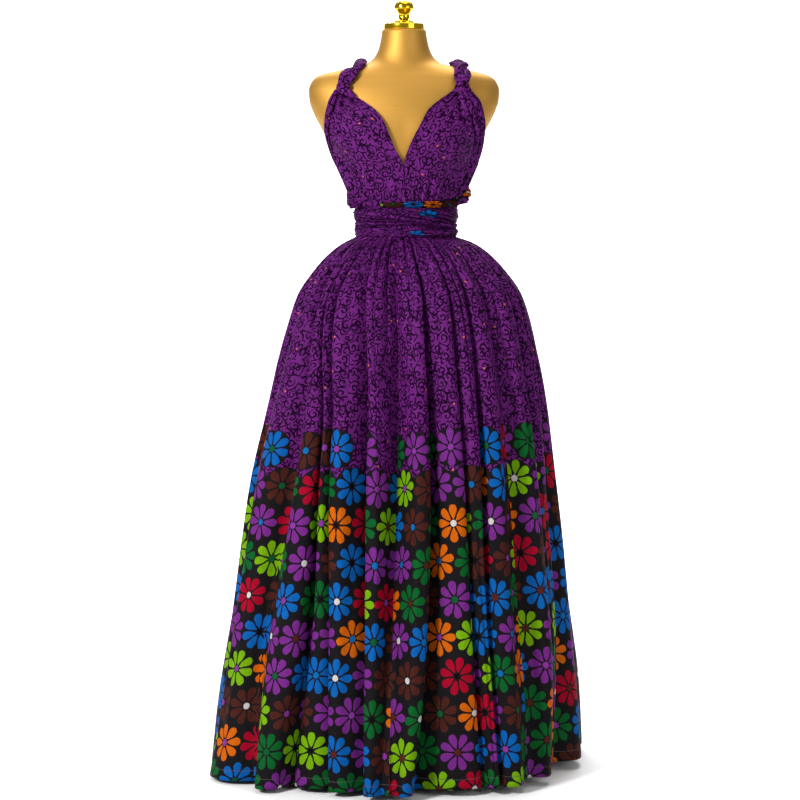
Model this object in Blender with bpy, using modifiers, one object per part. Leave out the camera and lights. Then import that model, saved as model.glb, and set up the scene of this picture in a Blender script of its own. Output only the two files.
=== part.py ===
"""A wrap-strap evening dress in wax print cotton, on a limbless dress form.

The skirt is two gathered panels. Two long straps rise from its waist seam: each covers one side
of the bust, is twisted into a rope over the shoulder, crosses the back, goes round the waist and
is knotted at the back. Metres, +Z up, the wearer faces -Y, and the base stands on z = 0.
"""
import math
from collections import namedtuple

import bmesh
import bpy
import numpy as np
from mathutils import Vector
from mathutils.bvhtree import BVHTree

# Move that puts the origin under the middle of the whole outline; the tables below are measured
# from the stand's axis
MIDDLE = Vector((0.0117, 0.0032, 0.0))

# Cloth and seams
WALL = 0.0012
SEAM_GAP = 0.0004
SEAT = 0.0010
BODICE_SEAT = 0.0016
ROPE_SEAT = 0.0006

# Waist stack, from the skirt's seam up to the top of the sash
SKIRT_TOP = 1.0665
BAND_BOTTOM = 1.0670
BAND_TOP = 1.0980
BAND_RINGS = 3
BODICE_BOTTOM = 1.0990
SASH_LIFT = 0.0054
SASH_TOP = 1.128

# Stand of the dress form
NECK_TOP = 1.4654
CAP_RADIUS = 0.0405
CAP_HEIGHT = 0.0122
TORSO_BOTTOM = 0.800
POLE_RADIUS = 0.016
BASE_RADIUS = 0.155
COLLAR_TOP = 0.060

# Gathers of one skirt panel, and the mesh columns across one gather
GATHERS = 28
COLUMNS = 3

# Heights at which the folds are measured
WAIST_Z = 1.060
HIP_Z = 0.930
THIGH_Z = 0.690
KNEE_Z = 0.320
HEM_Z = 0.013

Colour = namedtuple("Colour", "rgb rough metal")
PURPLE = Colour((0.150, 0.030, 0.190), 0.75, 0.0)
DEEP_PURPLE = Colour((0.110, 0.022, 0.150), 0.75, 0.0)
GOLD_SATIN = Colour((0.480, 0.270, 0.080), 0.35, 0.6)
GOLD_BRIGHT = Colour((0.750, 0.550, 0.050), 0.12, 1.0)
STEEL = Colour((0.500, 0.480, 0.450), 0.35, 1.0)

# Horizontal sections of the torso: its middle, half width, and depth before and behind the axis
Section = namedtuple("Section", "z middle half_width front back")
TORSO = (
    Section(0.800, 0.004, 0.150, 0.092, 0.105),
    Section(0.860, 0.004, 0.168, 0.104, 0.124),
    Section(0.920, 0.004, 0.165, 0.106, 0.126),
    Section(0.980, 0.004, 0.142, 0.104, 0.112),
    Section(1.030, 0.004, 0.112, 0.094, 0.092),
    Section(1.060, 0.004, 0.0945, 0.086, 0.082),
    Section(1.090, 0.004, 0.0905, 0.084, 0.079),
    Section(1.125, 0.004, 0.0985, 0.087, 0.081),
    Section(1.170, 0.003, 0.1150, 0.094, 0.086),
    Section(1.205, 0.002, 0.1290, 0.098, 0.090),
    Section(1.232, 0.001, 0.1420, 0.101, 0.093),
    Section(1.256, 0.000, 0.1560, 0.102, 0.095),
    Section(1.280, 0.000, 0.1690, 0.101, 0.096),
    Section(1.304, 0.000, 0.1810, 0.097, 0.095),
    Section(1.328, 0.000, 0.1885, 0.090, 0.092),
    Section(1.347, 0.000, 0.1895, 0.082, 0.087),
    Section(1.363, 0.000, 0.1840, 0.073, 0.081),
    Section(1.375, 0.000, 0.1710, 0.066, 0.075),
    Section(1.383, 0.000, 0.1450, 0.061, 0.070),
    Section(1.391, 0.000, 0.1080, 0.057, 0.065),
    Section(1.399, 0.000, 0.0760, 0.054, 0.060),
    Section(1.410, 0.000, 0.0605, 0.051, 0.055),
    Section(1.425, 0.000, 0.0520, 0.048, 0.050),
    Section(1.445, 0.000, 0.0465, 0.0455, 0.0455),
    Section(NECK_TOP, 0.000, 0.0435, 0.0435, 0.0435),
)
TORSO_SIDES = 36
BUST = namedtuple("Bust", "rise angle z angle_spread z_spread")(0.018, 36.0, 1.248, 22.0, 0.044)

# Plan of the skirt without its folds: reach to each side of the axis
Plan = namedtuple("Plan", "z left right front back")
SKIRT = (
    Plan(SKIRT_TOP, 0.0926, 0.1006, 0.0884, 0.0842),
    Plan(1.0575, 0.0944, 0.1024, 0.0896, 0.0856),
    Plan(1.0480, 0.1110, 0.1270, 0.1050, 0.1050),
    Plan(1.0240, 0.1440, 0.1640, 0.1360, 0.1380),
    Plan(0.9900, 0.1760, 0.1980, 0.1660, 0.1700),
    Plan(0.9400, 0.2100, 0.2330, 0.2000, 0.2080),
    Plan(0.8700, 0.2340, 0.2560, 0.2300, 0.2400),
    Plan(0.7500, 0.2660, 0.2810, 0.2610, 0.2710),
    Plan(0.5700, 0.3080, 0.3060, 0.2940, 0.3040),
    Plan(0.3600, 0.3390, 0.3300, 0.3210, 0.3300),
    Plan(0.1700, 0.3660, 0.3480, 0.3390, 0.3470),
    Plan(HEM_Z, 0.3830, 0.3540, 0.3480, 0.3560),
)
SQUARENESS = 0.25
HEM_TILT = 0.006

# One fold line of the skirt: its gather at the waist, its place round the skirt in degrees at
# four heights, its depth, how far the crown after it stands out, and the side that overlaps
Fold = namedtuple("Fold", "gather hip thigh knee hem deep_hip deep_knee deep_hem crown_knee crown_hem edge")
FRONT_FOLDS = (
    Fold(0, -90, -90, -90, -90, 0.004, 0.010, 0.008, 0.004, 0.006, 0),
    Fold(3, -72, -77, -74, -72, 0.006, 0.012, 0.010, 0.010, 0.040, 0),
    Fold(5, -54, -52, -57, -49, 0.009, 0.020, 0.008, 0.012, 0.034, 0),
    Fold(7, -44, -34, -33, -35, 0.010, 0.032, 0.032, -0.014, -0.012, -1),
    Fold(8, -37, -28, -22, -20, 0.007, 0.026, 0.022, 0.006, 0.006, 1),
    Fold(10, -18, -12, -10, -9, 0.012, 0.024, 0.020, -0.006, 0.032, 1),
    Fold(13, -3, -2, -3, -3, 0.014, 0.027, -0.020, 0.008, 0.036, 0),
    Fold(15, 7, 7, 5, 1, 0.010, 0.030, 0.032, 0.003, -0.002, -1),
    Fold(17, 20, 20, 21, 24, 0.009, 0.022, 0.018, -0.002, 0.012, -1),
    Fold(19, 30, 30, 28, 29, 0.008, 0.018, 0.015, 0.006, 0.018, 1),
    Fold(21, 43, 45, 43, 42, 0.009, 0.013, 0.014, 0.008, 0.004, 0),
    Fold(24, 62, 59, 56, 53, 0.009, 0.032, 0.052, -0.010, -0.034, -1),
    Fold(26, 76, 73, 72, 70, 0.006, 0.018, 0.040, 0.002, 0.006, 0),
    Fold(28, 90, 90, 90, 90, 0.004, 0.010, 0.008, 0.0, 0.0, 0),
)
BACK_FOLDS = (
    Fold(0, -90, -90, -90, -90, 0.004, 0.010, 0.008, 0.006, 0.014, 0),
    Fold(2, -77, -76, -74, -73, 0.007, 0.016, 0.020, 0.008, 0.012, 1),
    Fold(5, -57, -58, -60, -62, 0.010, 0.024, 0.026, -0.004, 0.010, -1),
    Fold(7, -45, -42, -43, -40, 0.008, 0.020, 0.018, 0.010, 0.020, 0),
    Fold(10, -26, -25, -22, -24, 0.011, 0.028, 0.030, -0.006, -0.004, -1),
    Fold(12, -13, -10, -12, -9, 0.009, 0.020, 0.018, 0.008, 0.022, 1),
    Fold(15, 6, 6, 8, 10, 0.012, 0.026, 0.028, 0.006, 0.004, 0),
    Fold(17, 20, 21, 19, 22, 0.008, 0.018, 0.016, 0.004, 0.016, -1),
    Fold(20, 38, 37, 40, 38, 0.011, 0.028, 0.032, -0.008, 0.008, 1),
    Fold(23, 58, 56, 55, 58, 0.009, 0.022, 0.020, 0.010, 0.024, 0),
    Fold(26, 77, 75, 76, 74, 0.007, 0.018, 0.022, 0.004, 0.008, -1),
    Fold(28, 90, 90, 90, 90, 0.004, 0.010, 0.008, 0.0, 0.0, 0),
)
GATHER_DEPTH = 0.0028
GATHER_REACH = 0.42

# Edges of the cloth over each side of the bust, left and right as the viewer sees them
Edge = namedtuple("Edge", "z inner outer stand")
BODICE_LEFT = (
    Edge(BODICE_BOTTOM, 0.006, -0.0930, 0.0),
    Edge(1.1170, 0.005, -0.0980, 0.0),
    Edge(1.1400, 0.003, -0.1060, 0.003),
    Edge(1.170, 0.001, -0.1170, 0.004),
    Edge(1.203, -0.003, -0.1310, 0.003),
    Edge(1.232, -0.018, -0.1405, 0.002),
    Edge(1.256, -0.028, -0.1450, 0.001),
    Edge(1.280, -0.038, -0.1470, 0.0),
    Edge(1.304, -0.056, -0.1450, 0.0),
    Edge(1.322, -0.080, -0.1400, 0.0),
    Edge(1.334, -0.100, -0.1330, 0.0),
    Edge(1.342, -0.107, -0.1280, 0.0),
)
BODICE_RIGHT = (
    Edge(BODICE_BOTTOM, -0.006, 0.1000, 0.0),
    Edge(1.1170, -0.005, 0.1045, 0.0),
    Edge(1.1400, -0.004, 0.1120, 0.005),
    Edge(1.170, -0.002, 0.1210, 0.009),
    Edge(1.203, 0.000, 0.1340, 0.011),
    Edge(1.232, 0.009, 0.1430, 0.006),
    Edge(1.256, 0.020, 0.1510, 0.002),
    Edge(1.280, 0.033, 0.1520, 0.001),
    Edge(1.304, 0.046, 0.1500, 0.0),
    Edge(1.322, 0.066, 0.1460, 0.0),
    Edge(1.334, 0.084, 0.1370, 0.0),
    Edge(1.343, 0.096, 0.1290, 0.0),
)
BODICE_COLUMNS = 18
BODICE_FOLDS = 4
BODICE_FOLD_DEPTH = 0.0022
OVERLAP_LIFT = 0.0024

# Route of a stretch of strap over the form: place round it in degrees from the front, height,
# width, thickness, and clearance under it
Stop = namedtuple("Stop", "angle z width thick lift")
BACK_STRAP_LEFT = (
    Stop(-156.0, 1.3670, 0.023, 0.012, SEAT),
    Stop(-166.0, 1.310, 0.034, 0.010, SEAT),
    Stop(-180.0, 1.252, 0.044, 0.009, SEAT),
    Stop(-203.0, 1.205, 0.044, 0.009, SEAT),
    Stop(-235.0, 1.168, 0.038, 0.010, SEAT),
    Stop(-258.0, 1.149, 0.036, 0.015, 0.0070),
    Stop(-272.0, 1.143, 0.034, 0.014, 0.0135),
    Stop(-288.0, 1.1320, 0.020, 0.009, 0.0095),
    Stop(-307.0, 1.1245, 0.015, 0.008, 0.0070),
    Stop(-340.0, 1.1225, 0.013, 0.006, 0.0068),
    Stop(-388.0, 1.1215, 0.011, 0.005, 0.0064),
)
BACK_STRAP_RIGHT = (
    Stop(153.3, 1.3640, 0.023, 0.012, SEAT),
    Stop(161.0, 1.315, 0.034, 0.010, 0.0045),
    Stop(170.0, 1.285, 0.040, 0.009, 0.0115),
    Stop(180.0, 1.252, 0.044, 0.009, 0.0115),
    Stop(192.0, 1.225, 0.044, 0.009, 0.0105),
    Stop(210.0, 1.195, 0.042, 0.009, 0.0035),
    Stop(238.0, 1.162, 0.036, 0.010, SEAT),
    Stop(262.0, 1.138, 0.026, 0.010, 0.0075),
    Stop(276.0, 1.1255, 0.020, 0.014, 0.0080),
    Stop(288.0, 1.1230, 0.015, 0.012, 0.0070),
    Stop(303.0, 1.1205, 0.009, 0.006, 0.0062),
)
WRAP_UPPER = (
    Stop(-166.4, 1.0990, 0.0290, 0.008, SASH_LIFT),
    Stop(-100.0, 1.0990, 0.0290, 0.008, SASH_LIFT),
    Stop(-50.0, 1.0990, 0.0290, 0.010, SASH_LIFT),
    Stop(0.0, 1.0990, 0.0290, 0.011, 0.0067),
    Stop(50.0, 1.0990, 0.0290, 0.010, SASH_LIFT),
    Stop(100.0, 1.0990, 0.0290, 0.008, SASH_LIFT),
    Stop(166.4, 1.0990, 0.0290, 0.008, SASH_LIFT),
)
WRAP_LOWER = (
    Stop(-166.4, 1.0692, 0.0220, 0.007, SASH_LIFT),
    Stop(-90.0, 1.0692, 0.0220, 0.007, SASH_LIFT),
    Stop(0.0, 1.0692, 0.0220, 0.008, SASH_LIFT),
    Stop(90.0, 1.0692, 0.0220, 0.007, SASH_LIFT),
    Stop(166.4, 1.0692, 0.0220, 0.007, SASH_LIFT),
)
# Each end of a strap, from the knot down over the back of the skirt
Fall = namedtuple("Fall", "z x width thick lift")
TAIL_LEFT = (
    Fall(1.0628, 0.0139, 0.0170, 0.0050, 0.0036),
    Fall(1.0560, 0.0145, 0.0180, 0.0045, 0.0042),
    Fall(1.0440, 0.0155, 0.0200, 0.0040, 0.0050),
    Fall(1.0100, 0.0180, 0.0260, 0.0040, 0.0055),
    Fall(0.9400, 0.0300, 0.0360, 0.0040, 0.0055),
    Fall(0.8600, 0.0420, 0.0460, 0.0040, 0.0060),
    Fall(0.7700, 0.0500, 0.0540, 0.0040, 0.0065),
)
TAIL_RIGHT = (
    Fall(1.0628, -0.0059, 0.0170, 0.0050, 0.0036),
    Fall(1.0560, -0.0065, 0.0180, 0.0045, 0.0042),
    Fall(1.0440, -0.0080, 0.0200, 0.0040, 0.0050),
    Fall(1.0100, -0.0140, 0.0260, 0.0040, 0.0055),
    Fall(0.9400, -0.0260, 0.0360, 0.0040, 0.0055),
    Fall(0.8400, -0.0360, 0.0480, 0.0040, 0.0062),
    Fall(0.7200, -0.0420, 0.0560, 0.0040, 0.0070),
)
TAIL_STATIONS = 15
# The rope over each shoulder goes through these places, at the front, the ridge and the back
Turn = namedtuple("Turn", "x z side half_width half_thick")
ROPE_LEFT = (
    Turn(-0.1180, 1.3426, 1, 0.0105, 0.0055),
    Turn(-0.1170, 1.3520, 1, 0.0120, 0.0068),
    Turn(-0.1090, 1.3670, 1, 0.0115, 0.0065),
    Turn(-0.0930, 1.3830, 1, 0.0095, 0.0050),
    Turn(-0.0850, 1.3925, 1, 0.0090, 0.0045),
    Turn(-0.0835, 1.3925, -1, 0.0090, 0.0045),
    Turn(-0.0815, 1.3800, -1, 0.0105, 0.0055),
    Turn(-0.0750, 1.3685, -1, 0.0110, 0.0060),
)
ROPE_RIGHT = (
    Turn(0.1125, 1.3444, 1, 0.0130, 0.0055),
    Turn(0.1125, 1.3540, 1, 0.0130, 0.0070),
    Turn(0.1120, 1.3670, 1, 0.0125, 0.0070),
    Turn(0.1130, 1.3800, 1, 0.0115, 0.0062),
    Turn(0.1110, 1.3880, 1, 0.0110, 0.0058),
    Turn(0.1020, 1.3890, -1, 0.0110, 0.0058),
    Turn(0.0930, 1.3790, -1, 0.0110, 0.0060),
    Turn(0.0830, 1.3675, -1, 0.0110, 0.0060),
)
ROPE_TWIST = 0.30
ROPE_STATIONS = 20
ROPE_SIDES = 10


def smooth(xs, ys, x):
    """Value at x of the smooth curve through (xs, ys), which never overshoots its points."""
    xs = np.asarray(xs, float)
    ys = np.asarray(ys, float)
    steps = np.diff(xs)
    slopes = np.diff(ys) / steps
    tangents = np.zeros(len(xs))
    tangents[0] = slopes[0]
    tangents[-1] = slopes[-1]
    for i in range(1, len(xs) - 1):
        if slopes[i - 1] * slopes[i] > 0:
            tangents[i] = 2 * slopes[i - 1] * slopes[i] / (slopes[i - 1] + slopes[i])
    i = int(np.clip(np.searchsorted(xs, x) - 1, 0, len(xs) - 2))
    t = (min(max(x, xs[0]), xs[-1]) - xs[i]) / steps[i]
    return (
        ys[i] * (1 + 2 * t) * (1 - t) ** 2
        + steps[i] * tangents[i] * t * (1 - t) ** 2
        + ys[i + 1] * t ** 2 * (3 - 2 * t)
        - steps[i] * tangents[i + 1] * t ** 2 * (1 - t)
    )


def column(rows, field):
    """One column of a table, as a list."""
    return [getattr(row, field) for row in rows]


def new_object(name, mesh, colour, collection):
    """Put a mesh in the part's collection with a material of its own."""
    material = bpy.data.materials.new(name)
    material.use_nodes = True
    shader = material.node_tree.nodes["Principled BSDF"]
    shader.inputs["Base Color"].default_value = (*colour.rgb, 1.0)
    shader.inputs["Roughness"].default_value = colour.rough
    shader.inputs["Metallic"].default_value = colour.metal
    material.diffuse_color = (*colour.rgb, 1.0)
    mesh.materials.append(material)
    mesh.shade_smooth()
    obj = bpy.data.objects.new(name, mesh)
    collection.objects.link(obj)
    return obj


def grid_mesh(name, rows):
    """Open sheet through rows of points; its outer side faces out when rows run down and right."""
    mesh = bpy.data.meshes.new(name)
    build = bmesh.new()
    lines = [[build.verts.new(point) for point in row] for row in rows]
    for upper, lower in zip(lines, lines[1:]):
        for i in range(len(upper) - 1):
            build.faces.new((upper[i], lower[i], lower[i + 1], upper[i + 1]))
    build.to_mesh(mesh)
    build.free()
    return mesh


def tube_mesh(name, loops):
    """Closed body through loops of points, capped at both ends, with its faces pointing out."""
    mesh = bpy.data.meshes.new(name)
    build = bmesh.new()
    rings = [[build.verts.new(point) for point in loop] for loop in loops]
    count = len(rings[0])
    for first, second in zip(rings, rings[1:]):
        for i in range(count):
            j = (i + 1) % count
            build.faces.new((first[i], first[j], second[j], second[i]))
    build.faces.new(rings[0])
    build.faces.new(reversed(rings[-1]))
    bmesh.ops.recalc_face_normals(build, faces=build.faces)
    build.to_mesh(mesh)
    build.free()
    return mesh


def thicken(obj):
    """Give an open sheet of cloth its wall, on the inner side."""
    wall = obj.modifiers.new("wall", "SOLIDIFY")
    wall.thickness = WALL
    wall.offset = -1.0


def turned(name, profile, colour, collection, steps):
    """Body turned about the Z axis from a profile that runs from its top down its outer side."""
    mesh = bpy.data.meshes.new(name)
    build = bmesh.new()
    corners = [build.verts.new((radius, 0.0, z)) for radius, z in profile]
    for first, second in zip(corners, corners[1:]):
        build.edges.new((first, second))
    build.to_mesh(mesh)
    build.free()
    obj = new_object(name, mesh, colour, collection)
    screw = obj.modifiers.new("turn", "SCREW")
    screw.steps = steps
    screw.render_steps = steps
    screw.use_merge_vertices = True
    screw.merge_threshold = 0.00001
    return obj


def bust(z, angle):
    """How far the bust stands out of the rib cage at a height and an angle."""
    across = (abs(math.degrees(angle)) - BUST.angle) / BUST.angle_spread
    along = (z - BUST.z) / BUST.z_spread
    return BUST.rise * math.exp(-across ** 2 - along ** 2)


def form_point(z, angle, lift=0.0):
    """Point of the torso; the angle is 0 at the front and grows towards +X."""
    heights = column(TORSO, "z")
    middle = smooth(heights, column(TORSO, "middle"), z)
    half_width = smooth(heights, column(TORSO, "half_width"), z)
    side = "front" if math.cos(angle) >= 0 else "back"
    depth = smooth(heights, column(TORSO, side), z)
    reach = lift + (bust(z, angle) if side == "front" else 0.0)
    return Vector((middle + (half_width + reach) * math.sin(angle), -(depth + reach) * math.cos(angle), z))


def form_normal(z, angle):
    """Outward direction of the torso's surface at a height and an angle."""
    step = 0.002
    round_it = form_point(z, angle + step) - form_point(z, angle - step)
    up_it = form_point(z + step, angle) - form_point(z - step, angle)
    return round_it.cross(up_it).normalized()


def form_angle(x, z, side=1):
    """Angle of the torso's point at a given x and height, at the front or the back."""
    half_width = smooth(column(TORSO, "z"), column(TORSO, "half_width"), z)
    middle = smooth(column(TORSO, "z"), column(TORSO, "middle"), z)
    widest = math.sin(math.radians(87.0))
    angle = math.asin(max(-widest, min(widest, (x - middle) / half_width)))
    return angle if side > 0 else math.copysign(math.pi, x) - angle


def make_torso(collection):
    """Lofted body of the dress form, from its flat underside to the flat top of its neck."""
    heights = []
    for lower, upper in zip(TORSO, TORSO[1:]):
        parts = max(1, round((upper.z - lower.z) / (0.013 if WAIST_Z - 0.03 <= lower.z < 1.16 else 0.060)))
        heights += [lower.z + (upper.z - lower.z) * k / parts for k in range(parts)]
    heights.append(NECK_TOP)
    angles = [2 * math.pi * i / TORSO_SIDES for i in range(TORSO_SIDES)]
    loops = [[form_point(z, angle - math.pi) for angle in angles] for z in heights]
    return new_object("form_torso", tube_mesh("form_torso", loops), GOLD_SATIN, collection)


def make_stand(collection):
    """Neck cap, finial, pole and base of the dress form."""
    bottom = NECK_TOP + SEAM_GAP
    top = bottom + CAP_HEIGHT
    rim = 0.002
    cap = (
        (0.0, top),
        (CAP_RADIUS - rim, top),
        (CAP_RADIUS, top - rim),
        (CAP_RADIUS, bottom + rim),
        (CAP_RADIUS - rim, bottom),
        (0.0, bottom),
    )
    turned("form_neck_cap", cap, GOLD_BRIGHT, collection, 32)
    foot = top + SEAM_GAP
    knob = (
        (0.0, foot + 0.0470),
        (0.0080, foot + 0.0455),
        (0.0150, foot + 0.0415),
        (0.0192, foot + 0.0350),
        (0.0198, foot + 0.0300),
        (0.0165, foot + 0.0250),
        (0.0125, foot + 0.0195),
        (0.0109, foot + 0.0145),
        (0.0115, foot + 0.0095),
        (0.0150, foot + 0.0055),
        (0.0198, foot + 0.0035),
        (0.0198, foot),
        (0.0, foot),
    )
    turned("form_finial", knob, GOLD_BRIGHT, collection, 16)
    base = (
        (0.0, COLLAR_TOP),
        (0.022, COLLAR_TOP),
        (0.026, 0.030),
        (0.036, 0.018),
        (0.060, 0.0135),
        (BASE_RADIUS - 0.006, 0.0100),
        (BASE_RADIUS, 0.0050),
        (BASE_RADIUS, 0.0),
        (0.0, 0.0),
    )
    turned("form_base", base, STEEL, collection, 32)
    length = TORSO_BOTTOM - COLLAR_TOP - 2 * SEAM_GAP
    build = bmesh.new()
    bmesh.ops.create_cone(
        build, cap_ends=True, segments=20, radius1=POLE_RADIUS, radius2=POLE_RADIUS, depth=length
    )
    mesh = bpy.data.meshes.new("form_pole")
    build.to_mesh(mesh)
    build.free()
    pole = new_object("form_pole", mesh, STEEL, collection)
    pole.location.z = COLLAR_TOP + SEAM_GAP + length / 2


def hump(t, left_edge, right_edge):
    """Rise of a fold between two fold lines; it is steep next to a line that it overlaps."""
    if right_edge:
        t = t ** 1.9
    elif left_edge:
        t = 1 - (1 - t) ** 1.9
    flatness = 3.2 if left_edge and right_edge else 2.4
    return 1 - abs(2 * t - 1) ** flatness


def fold_value(fold, z, kind):
    """A fold's place in degrees, its depth or its crown, at a height."""
    if kind == "place":
        waist = -90.0 + 180.0 * fold.gather / GATHERS
        heights = (HEM_Z, KNEE_Z, THIGH_Z, HIP_Z, WAIST_Z)
        return smooth(heights, (fold.hem, fold.knee, fold.thigh, fold.hip, waist), z)
    if kind == "deep":
        heights = (HEM_Z, KNEE_Z, HIP_Z, WAIST_Z)
        return smooth(heights, (fold.deep_hem, fold.deep_knee, fold.deep_hip, 0.0), z)
    heights = (HEM_Z, KNEE_Z, HIP_Z, WAIST_Z)
    return smooth(heights, (fold.crown_hem, fold.crown_knee, 0.001, 0.0), z)


def plan_point(angle, z, offset):
    """Point at an angle round the skirt, moved out from the plan that the folds stand on."""
    power = 2 / (2 + SQUARENESS * min(1.0, max(0.0, (WAIST_Z - z) / 0.1)))
    across = math.copysign(abs(math.sin(angle)) ** power, math.sin(angle))
    along = math.copysign(abs(math.cos(angle)) ** power, math.cos(angle))
    heights = column(SKIRT, "z")[::-1]
    width = smooth(heights, column(SKIRT, "right" if across > 0 else "left")[::-1], z)
    depth = smooth(heights, column(SKIRT, "front" if along > 0 else "back")[::-1], z)
    drop = HEM_TILT * across * max(0.0, 1 - z / HIP_Z) ** 2
    return Vector(((width + offset) * across, -(depth + offset) * along, z + drop))


def skirt_point(folds, place, z, facing):
    """Point of a skirt panel; place counts gathers from its right seam as seen from inside it."""
    i = max(k for k in range(len(folds) - 1) if folds[k].gather <= place)
    this, after = folds[i], folds[i + 1]
    t = (place - this.gather) / (after.gather - this.gather)
    turn = fold_value(this, z, "place") * (1 - t) + fold_value(after, z, "place") * t
    deep = fold_value(this, z, "deep") * (1 - t) + fold_value(after, z, "deep") * t
    crown = fold_value(this, z, "crown")
    offset = -deep + (crown + deep) * hump(t, this.edge > 0, after.edge < 0)
    fade = max(0.0, 1 - (WAIST_Z - z) / (GATHER_REACH * (0.75 + 0.25 * math.cos(2.4 * math.floor(place)))))
    near_seam = 0.25 if z > WAIST_Z - 0.006 else 1.0
    offset -= GATHER_DEPTH * near_seam * fade * math.cos(2 * math.pi * place)
    return plan_point(math.radians(turn) + facing, z, offset)


def make_skirt(collection):
    """Front and back panels, gathered into the waist, each a single wall of cloth."""
    heights = column(SKIRT, "z")
    for name, folds, facing, side in (
        ("skirt_front", FRONT_FOLDS, 0.0, -1),
        ("skirt_back", BACK_FOLDS, math.pi, 1),
    ):
        places = [i / COLUMNS for i in range(GATHERS * COLUMNS + 1)]
        rows = [[skirt_point(folds, place, z, facing) for place in places] for z in heights]
        for row in rows:
            for seam in (row[0], row[-1]):
                seam.y = side * SEAM_GAP
        thicken(new_object(name, grid_mesh(name, rows), PURPLE, collection))


def make_bodice(collection):
    """Cloth over each side of the bust, gathered at the waist and drawn together at the rope."""
    for name, edges, lap in (("bodice_left", BODICE_LEFT, 1), ("bodice_right", BODICE_RIGHT, 0)):
        rows = []
        for edge in edges:
            z = edge.z
            inner = form_angle(edge.inner, z)
            outer = form_angle(edge.outer, z)
            spread = (form_point(z, outer) - form_point(z, inner)).length
            deep = min(BODICE_FOLD_DEPTH, 0.2 * spread / BODICE_FOLDS) * (0.45 if z < SASH_TOP else 1.0)
            row = []
            for i in range(BODICE_COLUMNS + 1):
                t = i / BODICE_COLUMNS
                angle = inner + (outer - inner) * t
                pleat = 0.5 - 0.5 * math.cos(2 * math.pi * BODICE_FOLDS * t)
                pleat *= min(1.0, max(0.0, t - 0.15) / 0.1)
                lift = BODICE_SEAT + WALL + deep * pleat + edge.stand * max(0.0, 2 * t - 1) ** 2
                if lap:
                    lift += OVERLAP_LIFT * min(1.0, max(0.0, 1.5 - t / 0.12))
                row.append(form_point(z, angle) + form_normal(z, angle) * lift)
            rows.append(row)
        rows.reverse()
        if lap:
            rows = [row[::-1] for row in rows]
        thicken(new_object(name, grid_mesh(name, rows), PURPLE, collection))


def make_waistband(collection):
    """Plain band under the sash, to which the skirt and both straps are sewn."""
    sides = 36
    rows = []
    for k in range(BAND_RINGS + 1):
        z = BAND_TOP + (BAND_BOTTOM - BAND_TOP) * k / BAND_RINGS
        rows.append([form_point(z, 2 * math.pi * i / sides, SEAT + WALL) for i in range(sides)])
    mesh = bpy.data.meshes.new("waistband")
    build = bmesh.new()
    rings = [[build.verts.new(point) for point in row] for row in rows]
    for upper, lower in zip(rings, rings[1:]):
        for i in range(sides):
            j = (i + 1) % sides
            build.faces.new((upper[i], lower[i], lower[j], upper[j]))
    build.to_mesh(mesh)
    build.free()
    thicken(new_object("waistband", mesh, DEEP_PURPLE, collection))


def band_loop(centre, outward, along, width, thick, ridges, phase):
    """Section of a gathered strap: flat towards the form, ridged outside, thin at both edges."""
    across = along.cross(outward).normalized()
    count = 7
    outer = []
    for i in range(count):
        s = -1 + 2 * i / (count - 1)
        rise = (1 - abs(s) ** 2.6) ** 0.5 if abs(s) < 1 else 0.0
        ridge = 1 + 0.14 * math.cos(math.pi * ridges * s + phase)
        outer.append(centre + across * (s * width / 2) + outward * (thick * (0.22 + 0.68 * rise * ridge)))
    inner = [centre + across * (s * width / 2) for s in (0.92, 0.0, -0.92)]
    return outer + inner


def strap_stretch(name, stops, step, ridges, turns, colour, collection):
    """A stretch of gathered strap that lies on the form along its stops."""
    travel = [0.0]
    for first, second in zip(stops, stops[1:]):
        here = form_point(first.z, math.radians(first.angle))
        there = form_point(second.z, math.radians(second.angle))
        travel.append(travel[-1] + (there - here).length)
    count = max(8, round(travel[-1] / step))
    stations = []
    for i in range(count + 1):
        place = travel[-1] * i / count
        value = {field: smooth(travel, column(stops, field), place) for field in Stop._fields}
        angle = math.radians(value["angle"])
        outward = form_normal(value["z"], angle)
        stations.append((form_point(value["z"], angle) + outward * value["lift"], outward, value))
    loops = []
    for i, (centre, outward, value) in enumerate(stations):
        along = stations[min(i + 1, count)][0] - stations[max(i - 1, 0)][0]
        along = (along - outward * along.dot(outward)).normalized()
        phase = 2 * math.pi * turns * i / count
        loops.append(band_loop(centre, outward, along, value["width"], value["thick"], ridges, phase))
    return new_object(name, tube_mesh(name, loops), colour, collection)


def make_tail(name, falls, collection):
    """Loose end of a strap, gathered at the knot and opening as it falls over the skirt."""
    heights = column(falls, "z")[::-1]
    stations = []
    for i in range(TAIL_STATIONS + 1):
        share = (i / TAIL_STATIONS) ** 1.6
        z = falls[0].z + (falls[-1].z - falls[0].z) * share
        value = {field: smooth(heights, column(falls, field)[::-1], z) for field in Fall._fields}
        sideways = abs(value["x"]) / plan_point(math.pi / 2, z, 0.0).x
        angle = math.pi - math.copysign(math.asin(sideways), value["x"])
        stations.append((plan_point(angle, z, value["lift"]), value))
    loops = []
    for i, (centre, value) in enumerate(stations):
        along = (stations[min(i + 1, TAIL_STATIONS)][0] - stations[max(i - 1, 0)][0]).normalized()
        outward = Vector((1.0, 0.0, 0.0)).cross(along)
        outward = outward if outward.y > 0 else -outward
        loops.append(band_loop(centre, outward.normalized(), along, value["width"], value["thick"], 2.0, 0.6))
    return new_object(name, tube_mesh(name, loops), PURPLE, collection)


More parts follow.
